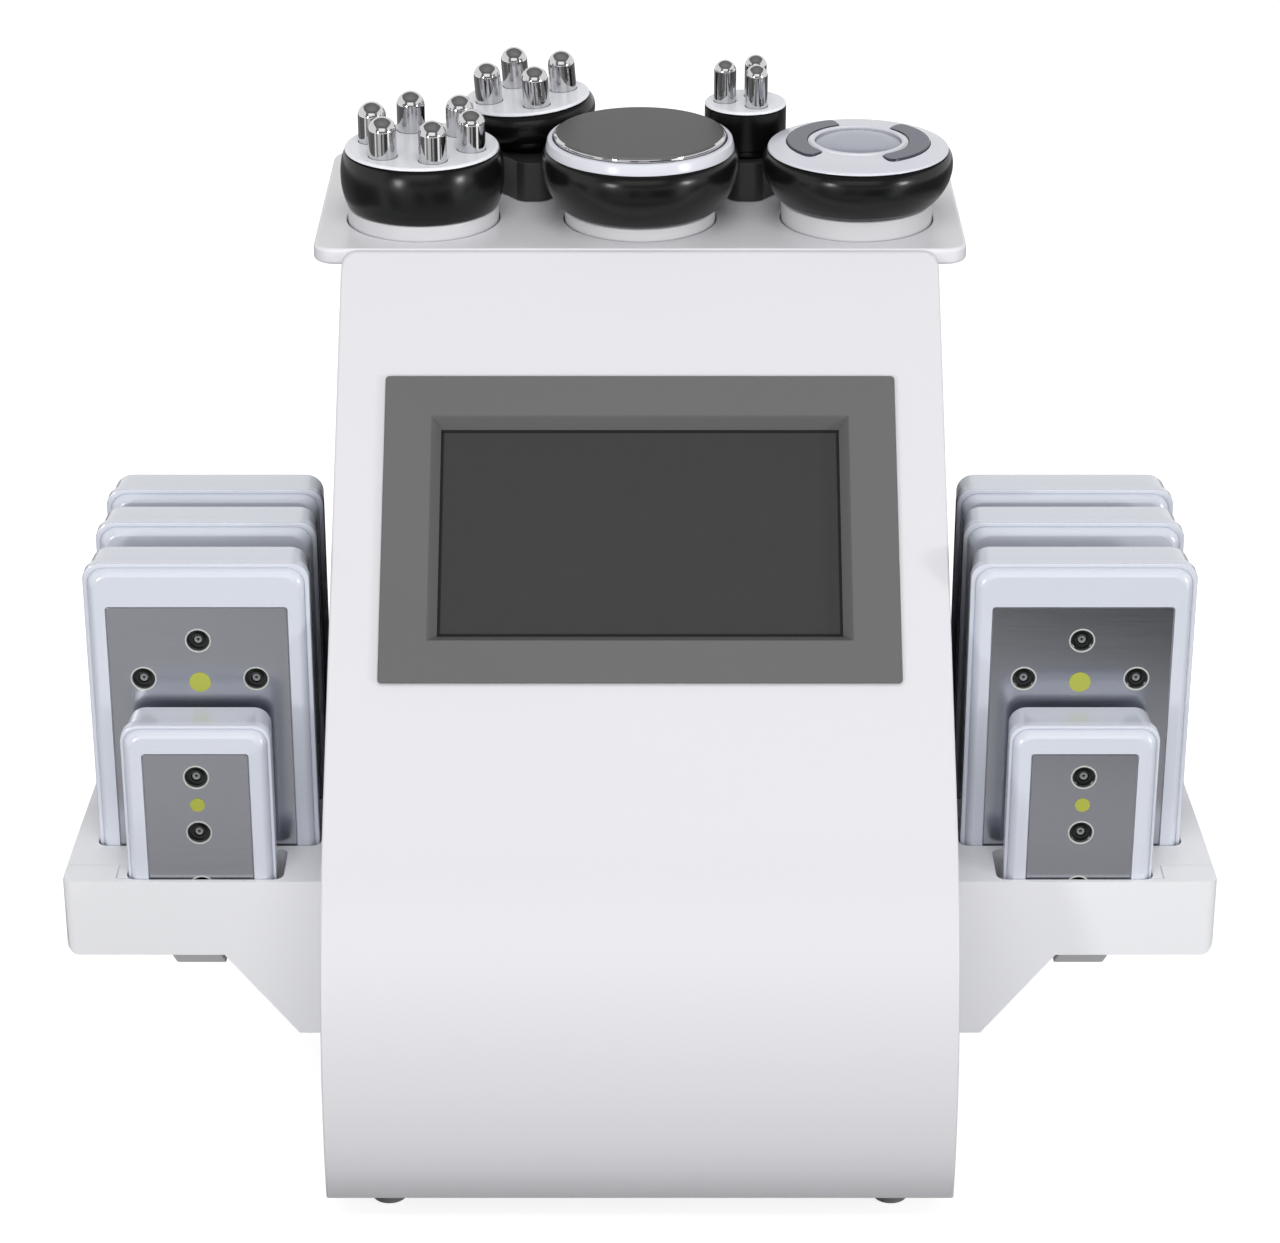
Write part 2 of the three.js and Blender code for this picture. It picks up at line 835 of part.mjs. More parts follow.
function controlBoard() {
  const width = viewWidth - 2 * boardInset;
  const height = viewHeight - 2 * boardInset;
  const front = displayBack - standoffLength;
  const back = front - boardThickness;
  const plate = blockBetween([-width / 2, -height / 2, back], [width / 2, height / 2, front]);
  const parts = [];
  for (const sideX of [-1, 1]) {
    for (const sideY of [-1, 1]) {
      const post = upright(standoffRadius, back, displayBack - fit, smallSegments);
      const x = sideX * (width / 2 - standoffInset);
      const y = sideY * (height / 2 - standoffInset);
      parts.push(solid(post.translate(x, y, 0)));
    }
  }
  const chip = blockBetween(
    [-chipSize / 2, -chipSize / 2, back - chipHeight],
    [chipSize / 2, chipSize / 2, front],
  );
  const header = blockBetween([-headerLength, -headerWidth, back - headerHeight], [0, 0, front]);
  const headerX = width / 2 - standoffInset - standoffRadius;
  const headerY = height / 2 - standoffInset - standoffRadius;
  parts.push(solid(chip), solid(header.translate(headerX, headerY, 0)));
  return joined(solid(plate), ...parts);
}

function display() {
  const group = assembly(
    piece('screen_bezel', screenBezel(), finishes.bezelGrey),
    piece('touch_screen', touchScreen(), finishes.screenGlass),
    piece('control_board', controlBoard(), finishes.boardGreen),
  );
  group.position.set(0, panelTopDepth, panelTopHeight);
  group.rotation.x = panelTurn;
  group.translateY(bezelCentre);
  return group;
}

// Each well hangs under the tray, has a hole in its floor for a lead, and opens through the plate
function wellTube(x, y, radius, depth) {
  const tube = upright(radius + wellWall, trayTop - depth, trayTop - seatDepth, stemSegments);
  return solid(tube.translate(x, y, 0));
}

function wellBore(x, y, radius, depth) {
  const floor = trayTop - depth + wellWall;
  const bore = upright(radius, floor, trayTop + overrun, stemSegments).translate(x, y, 0);
  const hole = upright(leadHoleRadius, trayTop - depth - overrun, floor + wellWall, smallSegments);
  return joined(solid(bore), solid(hole.translate(x, y, 0)));
}

const frontPlaces = [
  { head: sixPole, x: -sideHead },
  { head: cavitation, x: 0 },
  { head: photon, x: sideHead },
];
const rearPlaces = [
  { head: fourPole, place: fourPolePlace, well: fourPoleWell },
  { head: threePole, place: threePolePlace, well: threePoleWell },
];

function topTray() {
  const width = 2 * trayHalfWidth;
  const length = trayRear - trayFront;
  const plate = raised(roundedRectangle(width, length, trayCorner), trayBottom, trayTop);
  const tubes = [];
  const bores = [];
  for (const { x } of frontPlaces) {
    tubes.push(wellTube(x, frontRow, wellRadius, wellDepth));
    bores.push(wellBore(x, frontRow, wellRadius, wellDepth));
    const seat = upright(seatRadius, seatFloor, trayTop + overrun, wideSegments);
    bores.push(solid(seat.translate(x, frontRow, 0)));
  }
  for (const { place, well } of rearPlaces) {
    tubes.push(wellTube(place.x, place.y, well, rearWellDepth));
    bores.push(wellBore(place.x, place.y, well, rearWellDepth));
  }
  const whole = joined(solid(plate.translate(0, (trayRear + trayFront) / 2, 0)), ...tubes);
  return cut(whole, ...bores);
}

// A step that rounds off behind the two rear heads and hollows out round the three front ones
function rearRiser() {
  const bottom = trayTop + fit;
  const rounds = rearPlaces.map(({ head, place }) => {
    return { ...place, radius: riserHoleRadius(head) + riserRim };
  });
  const web = blockBetween(
    [Math.min(...rounds.map(({ x, radius }) => x - radius)), frontRow + riserSetback, bottom],
    [Math.max(...rounds.map(({ x, radius }) => x + radius)), frontRow + bayRadius + riserRim, riserTop],
  );
  const ends = rounds.map(({ x, y, radius }) =>
    solid(upright(radius, bottom, riserTop, wideSegments).translate(x, y, 0)),
  );
  const bays = frontPlaces.map(({ x }) => {
    const bay = upright(bayRadius, bottom - overrun, riserTop + overrun, wideSegments);
    return solid(bay.translate(x, frontRow, 0));
  });
  const holes = rearPlaces.map(({ head, place }) => {
    const hole = upright(riserHoleRadius(head), bottom - overrun, riserTop + overrun, stemSegments);
    return solid(hole.translate(place.x, place.y, 0));
  });
  return cut(joined(solid(web), ...ends), ...bays, ...holes);
}

// Treatment heads. Each has its origin at the underside of its collar.
function bulbTop(head) {
  return head.collarHeight + fit + head.bulbHeight;
}

function bowlRadius(head) {
  return head.rimRadius - head.rimWall;
}

function bowlFloor(head) {
  return bulbTop(head) - head.bowlDepth;
}

function gripProfile(head, bowl) {
  return [
    [0, -head.stemLength - glandLength],
    [glandRadius, -head.stemLength - glandLength],
    [glandRadius, -head.stemLength],
    [head.stemRadius, -head.stemLength],
    [head.stemRadius, -head.neckLength - head.stemTaper],
    [head.neckRadius, -head.neckLength],
    [head.neckRadius, head.collarHeight + fit],
    ...bulbSide(head),
    [bowlRadius(head), bulbTop(head)],
    [bowlRadius(head), bowlFloor(head)],
    ...bowl,
    [0, bowl.length ? bowl.at(-1)[1] : bowlFloor(head)],
  ];
}

function collar(head) {
  const inner = head.neckRadius + fit;
  return turned(
    [
      [inner, 0],
      [head.collarRadius, 0],
      [head.collarRadius, head.collarHeight - collarEdge],
      [head.collarRadius - collarEdge, head.collarHeight],
      [inner, head.collarHeight],
      [inner, 0],
    ],
    wideSegments,
  );
}

function pinPlaces(head) {
  const circle = bowlRadius(head) - head.pinRadius - head.pinMargin;
  const places = [];
  for (let pin = 0; pin < head.pinCount; pin += 1) {
    const angle = head.pinTurn + (pin * 2 * Math.PI) / head.pinCount;
    places.push({ x: circle * Math.cos(angle), y: circle * Math.sin(angle) });
  }
  return places;
}

function poleFace(head) {
  const rim = bulbTop(head) + fit;
  const cap = turned(
    [
      [0, rim - facePlug],
      [bowlRadius(head) - fit, rim - facePlug],
      [bowlRadius(head) - fit, rim],
      [head.rimRadius, rim],
      [head.rimRadius, rim + faceThickness - faceEdge],
      [head.rimRadius - faceEdge, rim + faceThickness],
      [0, rim + faceThickness],
    ],
    wideSegments,
  );
  const holes = pinPlaces(head).map(({ x, y }) => {
    const hole = upright(head.pinRadius + fit, rim - facePlug - overrun, rim + overrun, pinSegments);
    return solid(hole.translate(x, y, 0));
  });
  return cut(solid(cap), ...holes);
}

// A pin with a domed tip
function pinProfile(head, bottom, faceTop) {
  const shoulder = faceTop + head.pinHeight - head.pinRadius;
  const points = [
    [0, bottom],
    [head.pinRadius, bottom],
    [head.pinRadius, shoulder],
  ];
  for (let step = 1; step < domeSteps; step += 1) {
    const angle = (step / domeSteps) * (Math.PI / 2);
    points.push([head.pinRadius * Math.cos(angle), shoulder + head.pinRadius * Math.sin(angle)]);
  }
  points.push([0, faceTop + head.pinHeight]);
  return points;
}

function poleElectrodes(head) {
  const bottom = bowlFloor(head) + fit;
  const top = bottom + carrierThickness;
  const faceTop = bulbTop(head) + fit + faceThickness;
  const carrier = upright(bowlRadius(head) - 2 * fit, bottom, top, wideSegments);
  const pins = pinPlaces(head).map(({ x, y }) => {
    const pin = turned(pinProfile(head, bottom, faceTop), pinSegments);
    return solid(pin.translate(x, y, 0));
  });
  return joined(solid(carrier), ...pins);
}

function poleHead(head, collarFinish) {
  return assembly(
    piece(`${head.name}_grip`, turned(gripProfile(head, []), wideSegments), finishes.gripBlack),
    piece(`${head.name}_collar`, collar(head), collarFinish),
    piece(`${head.name}_face`, poleFace(head), finishes.capWhite),
    piece(`${head.name}_electrodes`, poleElectrodes(head), finishes.chrome),
  );
}

function cavitationHead() {
  const head = cavitation;
  const rim = bulbTop(head) + fit;
  const discTop = rim + head.ringHeight + head.discProud;
  const discBottom = discTop - head.discThickness;
  const ringInner = head.rimRadius - head.ringWall;
  const discRadius = ringInner - 2 * fit;
  const stackBottom = discBottom - head.stackLength;
  const pitRadius = head.stackRadius + fit;
  const pitFloor = stackBottom - fit;
  const pit = [
    [pitRadius, bowlFloor(head)],
    [pitRadius, pitFloor],
  ];
  const ring = turned(
    [
      [ringInner, rim],
      [head.rimRadius, rim],
      [head.rimRadius - faceEdge / 2, rim + head.ringHeight - faceEdge],
      [head.rimRadius - faceEdge, rim + head.ringHeight],
      [ringInner, rim + head.ringHeight],
      [ringInner, rim],
    ],
    wideSegments,
  );
  const transducer = turned(
    [
      [0, stackBottom],
      [head.stackRadius, stackBottom],
      [head.stackRadius, discBottom],
      [bowlRadius(head) - 2 * fit, discBottom],
      [bowlRadius(head) - 2 * fit, rim],
      [discRadius, rim],
      [discRadius, discTop - head.discBevel],
      [discRadius - head.discBevel, discTop],
      [0, discTop],
    ],
    wideSegments,
  );
  return assembly(
    piece('cavitation_grip', turned(gripProfile(head, pit), wideSegments), finishes.gripBlack),
    piece('cavitation_collar', collar(head), finishes.trayWhite),
    piece('cavitation_ring', ring, finishes.capWhite),
    piece('cavitation_transducer', transducer, finishes.discSteel),
  );
}

// A band of a ring, centred on one direction
function arcBand(inner, outer, span, turn) {
  const shape = new THREE.Shape();
  shape.absarc(0, 0, outer, turn - span / 2, turn + span / 2, false);
  shape.absarc(0, 0, inner, turn + span / 2, turn - span / 2, true);
  return shape;
}

function photonHead() {
  const head = photon;
  const rim = bulbTop(head) + fit;
  const edgeTop = rim + faceThickness;
  const faceTop = edgeTop + head.faceDome;
  const floor = bowlFloor(head) + fit;
  const smooth = { curveSegments: smallSegments };
  const bore = head.lensRadius + fit;
  const ridge = bore + head.ridgeWidth;
  const arcInner = ridge + head.arcGap;
  const arcOuter = arcInner + head.arcWidth;
  const cap = turned(
    [
      [bore, rim - facePlug],
      [bowlRadius(head) - fit, rim - facePlug],
      [bowlRadius(head) - fit, rim],
      [head.rimRadius, rim],
      [head.rimRadius, edgeTop - faceEdge],
      [head.rimRadius - faceEdge, edgeTop],
      [arcOuter + head.arcGap, faceTop - head.ridgeHeight],
      [ridge, faceTop],
      [ridge, faceTop + head.ridgeHeight],
      [bore, faceTop + head.ridgeHeight],
      [bore, rim - facePlug],
    ],
    wideSegments,
  );
  const slotMargin = fit / arcInner;
  const slots = head.arcTurns.map((turn) => {
    const band = arcBand(arcInner - fit, arcOuter + fit, head.arcSpan + 2 * slotMargin, turn);
    return solid(raised(band, rim - facePlug - overrun, faceTop + overrun, smooth));
  });
  const carrierTop = floor + carrierThickness;
  const carrier = turned(
    [
      [arcInner, floor],
      [arcOuter, floor],
      [arcOuter, carrierTop],
      [arcInner, carrierTop],
      [arcInner, floor],
    ],
    wideSegments,
  );
  const arcs = head.arcTurns.map((turn) => {
    const band = arcBand(arcInner, arcOuter, head.arcSpan, turn);
    return solid(raised(band, floor, faceTop + head.arcProud, smooth));
  });
  const lens = turned(
    [
      [0, floor],
      [head.lensRadius, floor],
      [head.lensRadius, faceTop],
      [head.lensRadius / 2, faceTop + head.lensDome],
      [0, faceTop + head.lensDome],
    ],
    wideSegments,
  );
  return assembly(
    piece('photon_grip', turned(gripProfile(head, []), wideSegments), finishes.gripBlack),
    piece('photon_collar', collar(head), finishes.trayWhite),
    piece('photon_face', cut(solid(cap), ...slots), finishes.capWhite),
    piece('photon_electrodes', joined(solid(carrier), ...arcs), finishes.plateSilver),
    piece('photon_lens', lens, finishes.lensBlue),
  );
}

function heads() {
  const front = [poleHead(sixPole, finishes.trayWhite), cavitationHead(), photonHead()];
  front.forEach((group, place) => {
    group.position.set(frontPlaces[place].x, frontRow, seatFloor + fit);
  });
  const rear = rearPlaces.map(({ head, place }) => {
    const group = poleHead(head, finishes.gripBlack);
    group.position.set(place.x, place.y, riserTop + fit + leanLift(head));
    group.rotation.y = -head.lean;
    return group;
  });
  return assembly(...front, ...rear);
}

// Pads. Each has its origin at the middle of its front face's bottom edge.
function windowBlock(pad, margin, front, back) {
  const half = pad.width / 2 - pad.windowSideInset + margin;
  return blockBetween(
    [-half, front, pad.windowBottomInset - margin],
    [half, back, pad.height - pad.windowTopInset + margin],
  );
}

function padCase(pad) {
  const frontDepth = pad.thickness * padFrontShellShare;
  const frontWidth = pad.width - 2 * padEdge;
  const frontHeight = pad.height - 2 * padEdge;
  const frontShape = roundedRectangle(frontWidth, frontHeight, pad.corner - padEdge);
  const front = drawnBack(frontShape, padEdge, frontDepth - padEdge, {
    bevelEnabled: true,
    bevelSize: padEdge,
    bevelThickness: padEdge,
    bevelSegments: 1,
  });
  const backInset = padBackStep + padBackEdge;
  const backWidth = pad.width - 2 * backInset;
  const backHeight = pad.height - 2 * backInset;
  const backShape = roundedRectangle(backWidth, backHeight, pad.corner - backInset);
  const back = drawnBack(backShape, padEdge + padBackEdge, pad.thickness - padBackEdge, {
    bevelEnabled: true,
    bevelSize: padBackEdge,
    bevelThickness: padBackEdge,
    bevelSegments: 1,
  });
  const middle = pad.height / 2;
  const recess = windowBlock(pad, fit, -overrun, windowRecess);
  const gland = upright(padGlandRadius, padBackStep - padGlandLength, padBackEdge, smallSegments);
  return cut(
    joined(
      solid(front.translate(0, 0, middle)),
      solid(back.translate(0, 0, middle)),
      solid(gland.translate(0, pad.thickness / 2, 0)),
    ),
    solid(recess),
  );
}

// Diode places on a window: a large pad has two threes, a small one a column of three
function diodePlaces(pad) {
  const windowTop = pad.height - pad.windowTopInset;
  const top = windowTop - pad.diodeTopInset;
  const lower = top - pad.diodeRowDrop;
  if (pad.diodeSide > 0) {
    const upperHalf = [
      { x: 0, z: top },
      { x: -pad.diodeSide, z: lower },
      { x: pad.diodeSide, z: lower },
    ];
    const mirror = windowTop + pad.windowBottomInset;
    return [...upperHalf, ...upperHalf.map(({ x, z }) => ({ x, z: mirror - z }))];
  }
  return [
    { x: 0, z: top },
    { x: 0, z: lower },
    { x: 0, z: 2 * lower - top },
  ];
}

function padWindow(pad) {
  const plate = solid(windowBlock(pad, 0, windowSink, windowRecess - fit));
  const holes = diodePlaces(pad).map(({ x, z }) =>
    solid(level(diodeRadius, -overrun, windowRecess + overrun, smallSegments).translate(x, 0, z)),
  );
  return cut(plate, ...holes);
}

function padGroup(name, pad) {
  return assembly(
    piece(`${name}_case`, padCase(pad), finishes.padWhite),
    piece(`${name}_window`, padWindow(pad), finishes.plateSilver),
  );
}

// Where the pads stand in a holder: the small one in front, then the large ones
const padCentre = holderInnerRim + largePad.width / 2;
const smallPadFront = holderFront + holderFrontRim;
const largePadFronts = [];
let previousBack = smallPadFront + smallPad.thickness;
for (const gap of largePadGaps) {
  largePadFronts.push(previousBack + gap);
  previousBack += gap + largePad.thickness;
}
const holderWidth = holderInnerRim + largePad.width + holderOuterRim;
const holderRear = previousBack + pocketGap + pocketWall + holderRearRim;
const holderBottom = holderTop - holderHeight;

function pocketBlock(pad, front, margin, bottom, top, corner) {
  const width = pad.width + 2 * margin;
  const length = pad.thickness + 2 * margin;
  const shape = raised(roundedRectangle(width, length, corner), bottom, top);
  return solid(shape.translate(padCentre, front + pad.thickness / 2, 0));
}

// The right holder, with x counted out from the console's side
function padHolder() {
  const profile = new THREE.Shape();
  const quarter = Math.PI / 2;
  const topEdge = holderWall / 2;
  profile.moveTo(0, holderTop);
  profile.lineTo(0, holderBottom - gussetDrop);
  profile.lineTo(gussetFoot, holderBottom - gussetDrop);
  profile.lineTo(gussetReach, holderBottom);
  const turnX = holderWidth - holderCorner;
  profile.absarc(turnX, holderBottom + holderCorner, holderCorner, -quarter, 0, false);
  profile.absarc(holderWidth - topEdge, holderTop - topEdge, topEdge, 0, quarter, false);
  const plan = new THREE.Shape();
  plan.moveTo(0, holderRear);
  plan.lineTo(0, holderFront);
  plan.absarc(turnX, holderFront + holderCorner, holderCorner, -quarter, 0, false);
  plan.absarc(turnX - holderTaper, holderRear - holderCorner, holderCorner, 0, quarter, false);
  const body = solid(drawnBack(profile, holderFront, holderRear)).intersect(
    solid(raised(plan, holderBottom - gussetDrop - overrun, holderTop + overrun)),
  );
  const roof = holderTop - holderWall;
  const floor = holderBottom + holderWall;
  const gussetFloor = floor - gussetDrop;
  const innerEdge = holderWidth - holderTaper - holderWall;
  const room = outline([
    [-overrun, roof],
    [-overrun, gussetFloor],
    [gussetFoot - holderWall / 2, gussetFloor],
    [gussetReach - holderWall / 2, floor],
    [innerEdge, floor],
    [innerEdge, roof],
  ]);
  const chamber = drawnBack(room, holderFront + holderWall, holderRear - holderWall);
  const hollow = cut(body, solid(chamber));
  const places = [
    { pad: smallPad, front: smallPadFront },
    ...largePadFronts.map((front) => ({ pad: largePad, front })),
  ];
  const cups = [];
  const pockets = [];
  for (const { pad, front } of places) {
    const floorHeight = holderTop - pad.pocketDepth - fit;
    const cupBottom = floorHeight - pocketWall;
    const cupMargin = pocketGap + pocketWall;
    cups.push(pocketBlock(pad, front, cupMargin, cupBottom, roof + fit, pocketCorner + pocketWall));
    pockets.push(pocketBlock(pad, front, pocketGap, floorHeight, holderTop + overrun, pocketCorner));
    const lead = padGlandRadius + 2 * pocketGap;
    const hole = upright(lead, cupBottom - overrun, floorHeight + overrun, smallSegments);
    pockets.push(solid(hole.translate(padCentre, front + pad.thickness / 2, 0)));
  }
  return cut(joined(hollow, ...cups.map((cup) => cup.intersect(body))), ...pockets);
}

// The right clip, with x counted out from the console's side
function leadClip() {
  const top = holderBottom - fit;
  const front = holderFront + clipSetback;
  const back = front + 2 * clipFlange + clipSpan;
  const low = top - clipDrop;
  const profile = outline([
    [front, top],
    [front, top - clipThickness],
    [front + clipFlange, top - clipThickness],
    [front + clipFlange + clipThickness, low],
    [back - clipFlange - clipThickness, low],
    [back - clipFlange, top - clipThickness],
    [back, top - clipThickness],
    [back, top],
    [back - clipFlange - clipThickness, top],
    [back - clipFlange - 2 * clipThickness, low + clipThickness],
    [front + clipFlange + 2 * clipThickness, low + clipThickness],
    [front + clipFlange + clipThickness, top],
  ]);
  return drawnAcross(profile, clipWidth).translate(gussetReach + clipGap + clipWidth / 2, 0, 0);
}

// One side of the machine: its holder, clip and four pads
function sideGroup(side) {
  const right = side === 'right';
  const handed = (geometry) => (right ? geometry : mirrored(geometry));
  const group = assembly(
    piece(`pad_holder_${side}`, handed(geometryOf(padHolder())), finishes.holderWhite),
    piece(`lead_clip_${side}`, handed(leadClip()), finishes.clipGrey),
  );
  const x = right ? padCentre : -padCentre;
  const small = padGroup(`small_pad_${side}`, smallPad);
  small.position.set(x, smallPadFront, holderTop - smallPad.pocketDepth);
  group.add(small);
  largePadFronts.forEach((front, place) => {
    const pad = padGroup(`large_pad_${side}_${place + 1}`, largePad);
    pad.position.set(x, front, holderTop - largePad.pocketDepth);
    group.add(pad);
  });
  group.position.x = right ? halfWidth + fit : -halfWidth - fit;
  return group;
}

// Rear wall fittings
const socketBoardBack = rearInside - socketBodyLength;

function socketSet(places, radius) {
  const xs = places.map((place) => place.x);
  const zs = places.map((place) => place.z);
  const reach = radius + socketBoardRim;
  const board = blockBetween(
    [Math.min(...xs) - reach, socketBoardBack - boardThickness, Math.min(...zs) - reach],
    [Math.max(...xs) + reach, socketBoardBack, Math.max(...zs) + reach],
  );
  const face = bodyDepth + socketProud;
  const barrels = places.map(({ x, z }) => {
    const barrel = turned(
      [
        [0, socketBoardBack - boardThickness / 2],
        [radius, socketBoardBack - boardThickness / 2],
        [radius, face],
        [radius * socketFaceShare, face],
        [radius * socketFaceShare, face - socketFaceSink],
        [0, face - socketFaceSink],
      ],
      smallSegments,
    );
    return solid(barrel.rotateX(-Math.PI / 2).translate(x, 0, z));
  });
  return joined(solid(board), ...barrels);
}

// Fan, with its origin on the shaft at the frame's rear face, which lies against the rear wall
function fanFrame() {
  const bore = fanSize / 2 - fanWall;
  const ring = cut(
    solid(drawnBack(roundedRectangle(fanSize, fanSize, fanCorner), -fanDepth, 0)),
    solid(level(bore, -fanDepth - overrun, overrun, wideSegments)),
  );
  const motor = solid(level(fanHubRadius, -fanDepth, fanMotorThickness - fanDepth, stemSegments));
  const struts = [];
  for (let strut = 0; strut < fanStrutCount; strut += 1) {
    const bar = blockBetween(
      [0, -fanDepth, -fanStrutWidth / 2],
      [bore + fanWall / 2, fanStrutWidth - fanDepth, fanStrutWidth / 2],
    );
    const angle = ((strut + 1 / 2) * 2 * Math.PI) / fanStrutCount;
    struts.push(solid(bar.rotateY(angle)));
  }
  const motorBack = fanMotorThickness - fanDepth;
  const shaftHole = level(fanShaftRadius, -fanDepth - overrun, motorBack + overrun, stemSegments);
  return cut(joined(ring, motor, ...struts), solid(shaftHole));
}

function fanRotor() {
  const front = fanMotorThickness - fanDepth + fit;
  const back = -fanTipGap;
  const hub = solid(level(fanHubRadius, front, back, stemSegments));
  const shaft = solid(
    level(fanShaftRadius - fanShaftClearance, front - fanShaftLength, front + fit, stemSegments),
  );
  const tip = fanSize / 2 - fanWall - fanTipGap;
  const bladeWidth = (back - front - fanTipGap) / Math.cos(fanBladePitch) - fanBladeThickness;
  const blades = [];
  for (let blade = 0; blade < fanBladeCount; blade += 1) {
    const plate = blockBetween(
      [0, -bladeWidth / 2, -fanBladeThickness / 2],
      [tip - fanTipGap, bladeWidth / 2, fanBladeThickness / 2],
    );
    plate.rotateX(fanBladePitch);
    plate.translate(0, (front + back) / 2, 0).rotateY((blade * 2 * Math.PI) / fanBladeCount);
    blades.push(solid(plate));
  }
  return joined(hub, shaft, ...blades);
}

function fan() {
  const group = assembly(
    piece('fan_frame', fanFrame(), finishes.fanBlack),
    piece('fan_rotor', fanRotor(), finishes.fanBlack),
  );
  group.position.set(0, rearInside - fit, fanHeight);
  return group;
}

// Mains inlet and switch, with their origin at the middle of the flange's outer face
function powerInlet() {
  const flange = drawnBack(
    roundedRectangle(inletFlangeWidth, inletFlangeHeight, inletFlangeCorner),
    -inletFlangeThickness,
    0,
  );
  const depth = inletFlangeThickness + skin + inletBodyLength;
  const body = blockBetween(
    [-inletBodyWidth / 2, -depth, -inletBodyHeight / 2],
    [inletBodyWidth / 2, -inletFlangeThickness / 2, inletBodyHeight / 2],
  );
  const mouth = blockBetween(
    [inletMouthSide - inletMouthWidth / 2, -inletMouthDepth, -inletMouthHeight / 2],
    [inletMouthSide + inletMouthWidth / 2, overrun, inletMouthHeight / 2],
  );
  const bay = blockBetween(
    [switchBaySide - switchBayWidth / 2, -switchBayDepth, -switchBayHeight / 2],
    [switchBaySide + switchBayWidth / 2, overrun, switchBayHeight / 2],
  );
  return cut(joined(solid(flange), solid(body)), solid(mouth), solid(bay));
}

function switchRocker() {
  const half = switchBayHeight / 2 - rockerEndGap;
  const profile = outline([
    [rockerCrown, 0],
    [rockerCrown + rockerRise, half],
    [-rockerSkirt, half],
    [-rockerKeel, rockerKeelHalfWidth],
    [-rockerKeel, -rockerKeelHalfWidth],
    [-rockerSkirt, -half],
    [rockerCrown + rockerRise, -half],
  ]);
  return drawnAcross(profile, switchBayWidth - 2 * fit);
}

function mains() {
  const rocker = piece('power_switch_rocker', switchRocker(), finishes.inletBlack);
  rocker.position.set(switchBaySide, -rockerPivotDepth, 0);
  rocker.rotation.x = rockerTilt;
  const group = assembly(piece('power_inlet', powerInlet(), finishes.inletBlack), rocker);
  group.position.set(inletSide, bodyDepth + fit + inletFlangeThickness, inletHeight);
  return group;
}

function powerSupply() {
  const bottom = basePlateThickness + fit;
  const can = blockBetween(
    [-supplyWidth / 2, 0, bottom],
    [supplyWidth / 2, supplyLength, bottom + supplyHeight],
  );
  const terminal = blockBetween(
    [-terminalLength / 2, supplyLength - terminalWidth / 2, bottom],
    [terminalLength / 2, supplyLength + terminalWidth, bottom + terminalHeight],
  );
  const mesh = piece('power_supply', joined(solid(can), solid(terminal)), finishes.supplySteel);
  mesh.position.set(supplySide, supplyFrontInset, 0);
  return mesh;
}

const machine = assembly(
  piece('front_shell', frontShell(), finishes.glossWhite),
  piece('rear_housing', rearHousing(), finishes.glossWhite),
  piece('base_plate', basePlate(), finishes.supplySteel),
  feet(),
  piece('top_tray', topTray(), finishes.trayWhite),
  piece('rear_riser', rearRiser(), finishes.riserGrey),
  display(),
  powerSupply(),
  heads(),
  sideGroup('left'),
  sideGroup('right'),
  piece('handle_sockets', socketSet(handleSocketPlaces(), handleSocketRadius), finishes.inletBlack),
  piece('pad_sockets', socketSet(padSocketPlaces(), padSocketRadius), finishes.inletBlack),
  fan(),
  mains(),
);

// Stand the machine on the ground with its origin under the middle of its box
const box = new THREE.Box3().setFromObject(machine);
machine.position.set(0, -(box.min.y + box.max.y) / 2, -box.min.z);

export default assembly(machine);
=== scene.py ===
"""Looks of a desktop cavitation slimming machine, modelled round its solid parts.

Metres, +Z up, +Y from the front to the rear, +X to the right as seen from the front. Places come
from the boxes of the solid parts, and sizes are the named values of the sections that use them.
"""

import json
import math
from collections import namedtuple

import bpy
from mathutils import Matrix, Vector


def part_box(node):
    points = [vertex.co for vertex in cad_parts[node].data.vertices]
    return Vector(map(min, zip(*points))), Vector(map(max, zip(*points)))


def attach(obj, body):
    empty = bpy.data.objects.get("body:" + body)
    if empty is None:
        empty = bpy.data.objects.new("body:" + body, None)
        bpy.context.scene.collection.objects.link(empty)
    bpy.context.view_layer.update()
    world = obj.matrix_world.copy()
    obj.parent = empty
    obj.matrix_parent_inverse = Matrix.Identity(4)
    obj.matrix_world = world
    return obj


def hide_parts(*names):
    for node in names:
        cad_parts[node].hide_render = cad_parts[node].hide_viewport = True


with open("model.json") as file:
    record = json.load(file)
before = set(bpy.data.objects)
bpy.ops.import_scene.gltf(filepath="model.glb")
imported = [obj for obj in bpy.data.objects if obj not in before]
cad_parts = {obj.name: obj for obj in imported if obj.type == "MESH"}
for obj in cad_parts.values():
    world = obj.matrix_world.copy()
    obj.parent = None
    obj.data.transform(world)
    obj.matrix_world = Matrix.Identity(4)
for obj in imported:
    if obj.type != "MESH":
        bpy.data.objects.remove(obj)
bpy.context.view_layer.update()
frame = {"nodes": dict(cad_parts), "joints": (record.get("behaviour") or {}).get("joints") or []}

# Shared clearances and smoothness
GAP = 0.0003
OVERRUN = 0.003
FAR = 1
PEN_SIZE = 0.001
MERGE_DISTANCE = 0.000002
NODE_MERGE_DISTANCE = 0.00001
ROUND_STEPS = 96
DISC_STEPS = 128
POST_STEPS = 48
PIN_STEPS = 40
SMALL_STEPS = 32
CORNER_STEPS = 8
SOFT_STEPS = 5
EDGE_STEPS = 3
CREASE = math.radians(32)
WIDE_CREASE = math.radians(50)
FLAT_ANGLE = math.radians(0.6)
UPRIGHT_SLACK = 0.12
FACING_UP = 0.99
WEIGHT_BY_AREA = 50
QUARTER = math.pi / 2
ORIGIN = (0, 0, 0)


# Modelling steps

def deselect():
    bpy.ops.object.select_all(action="DESELECT")


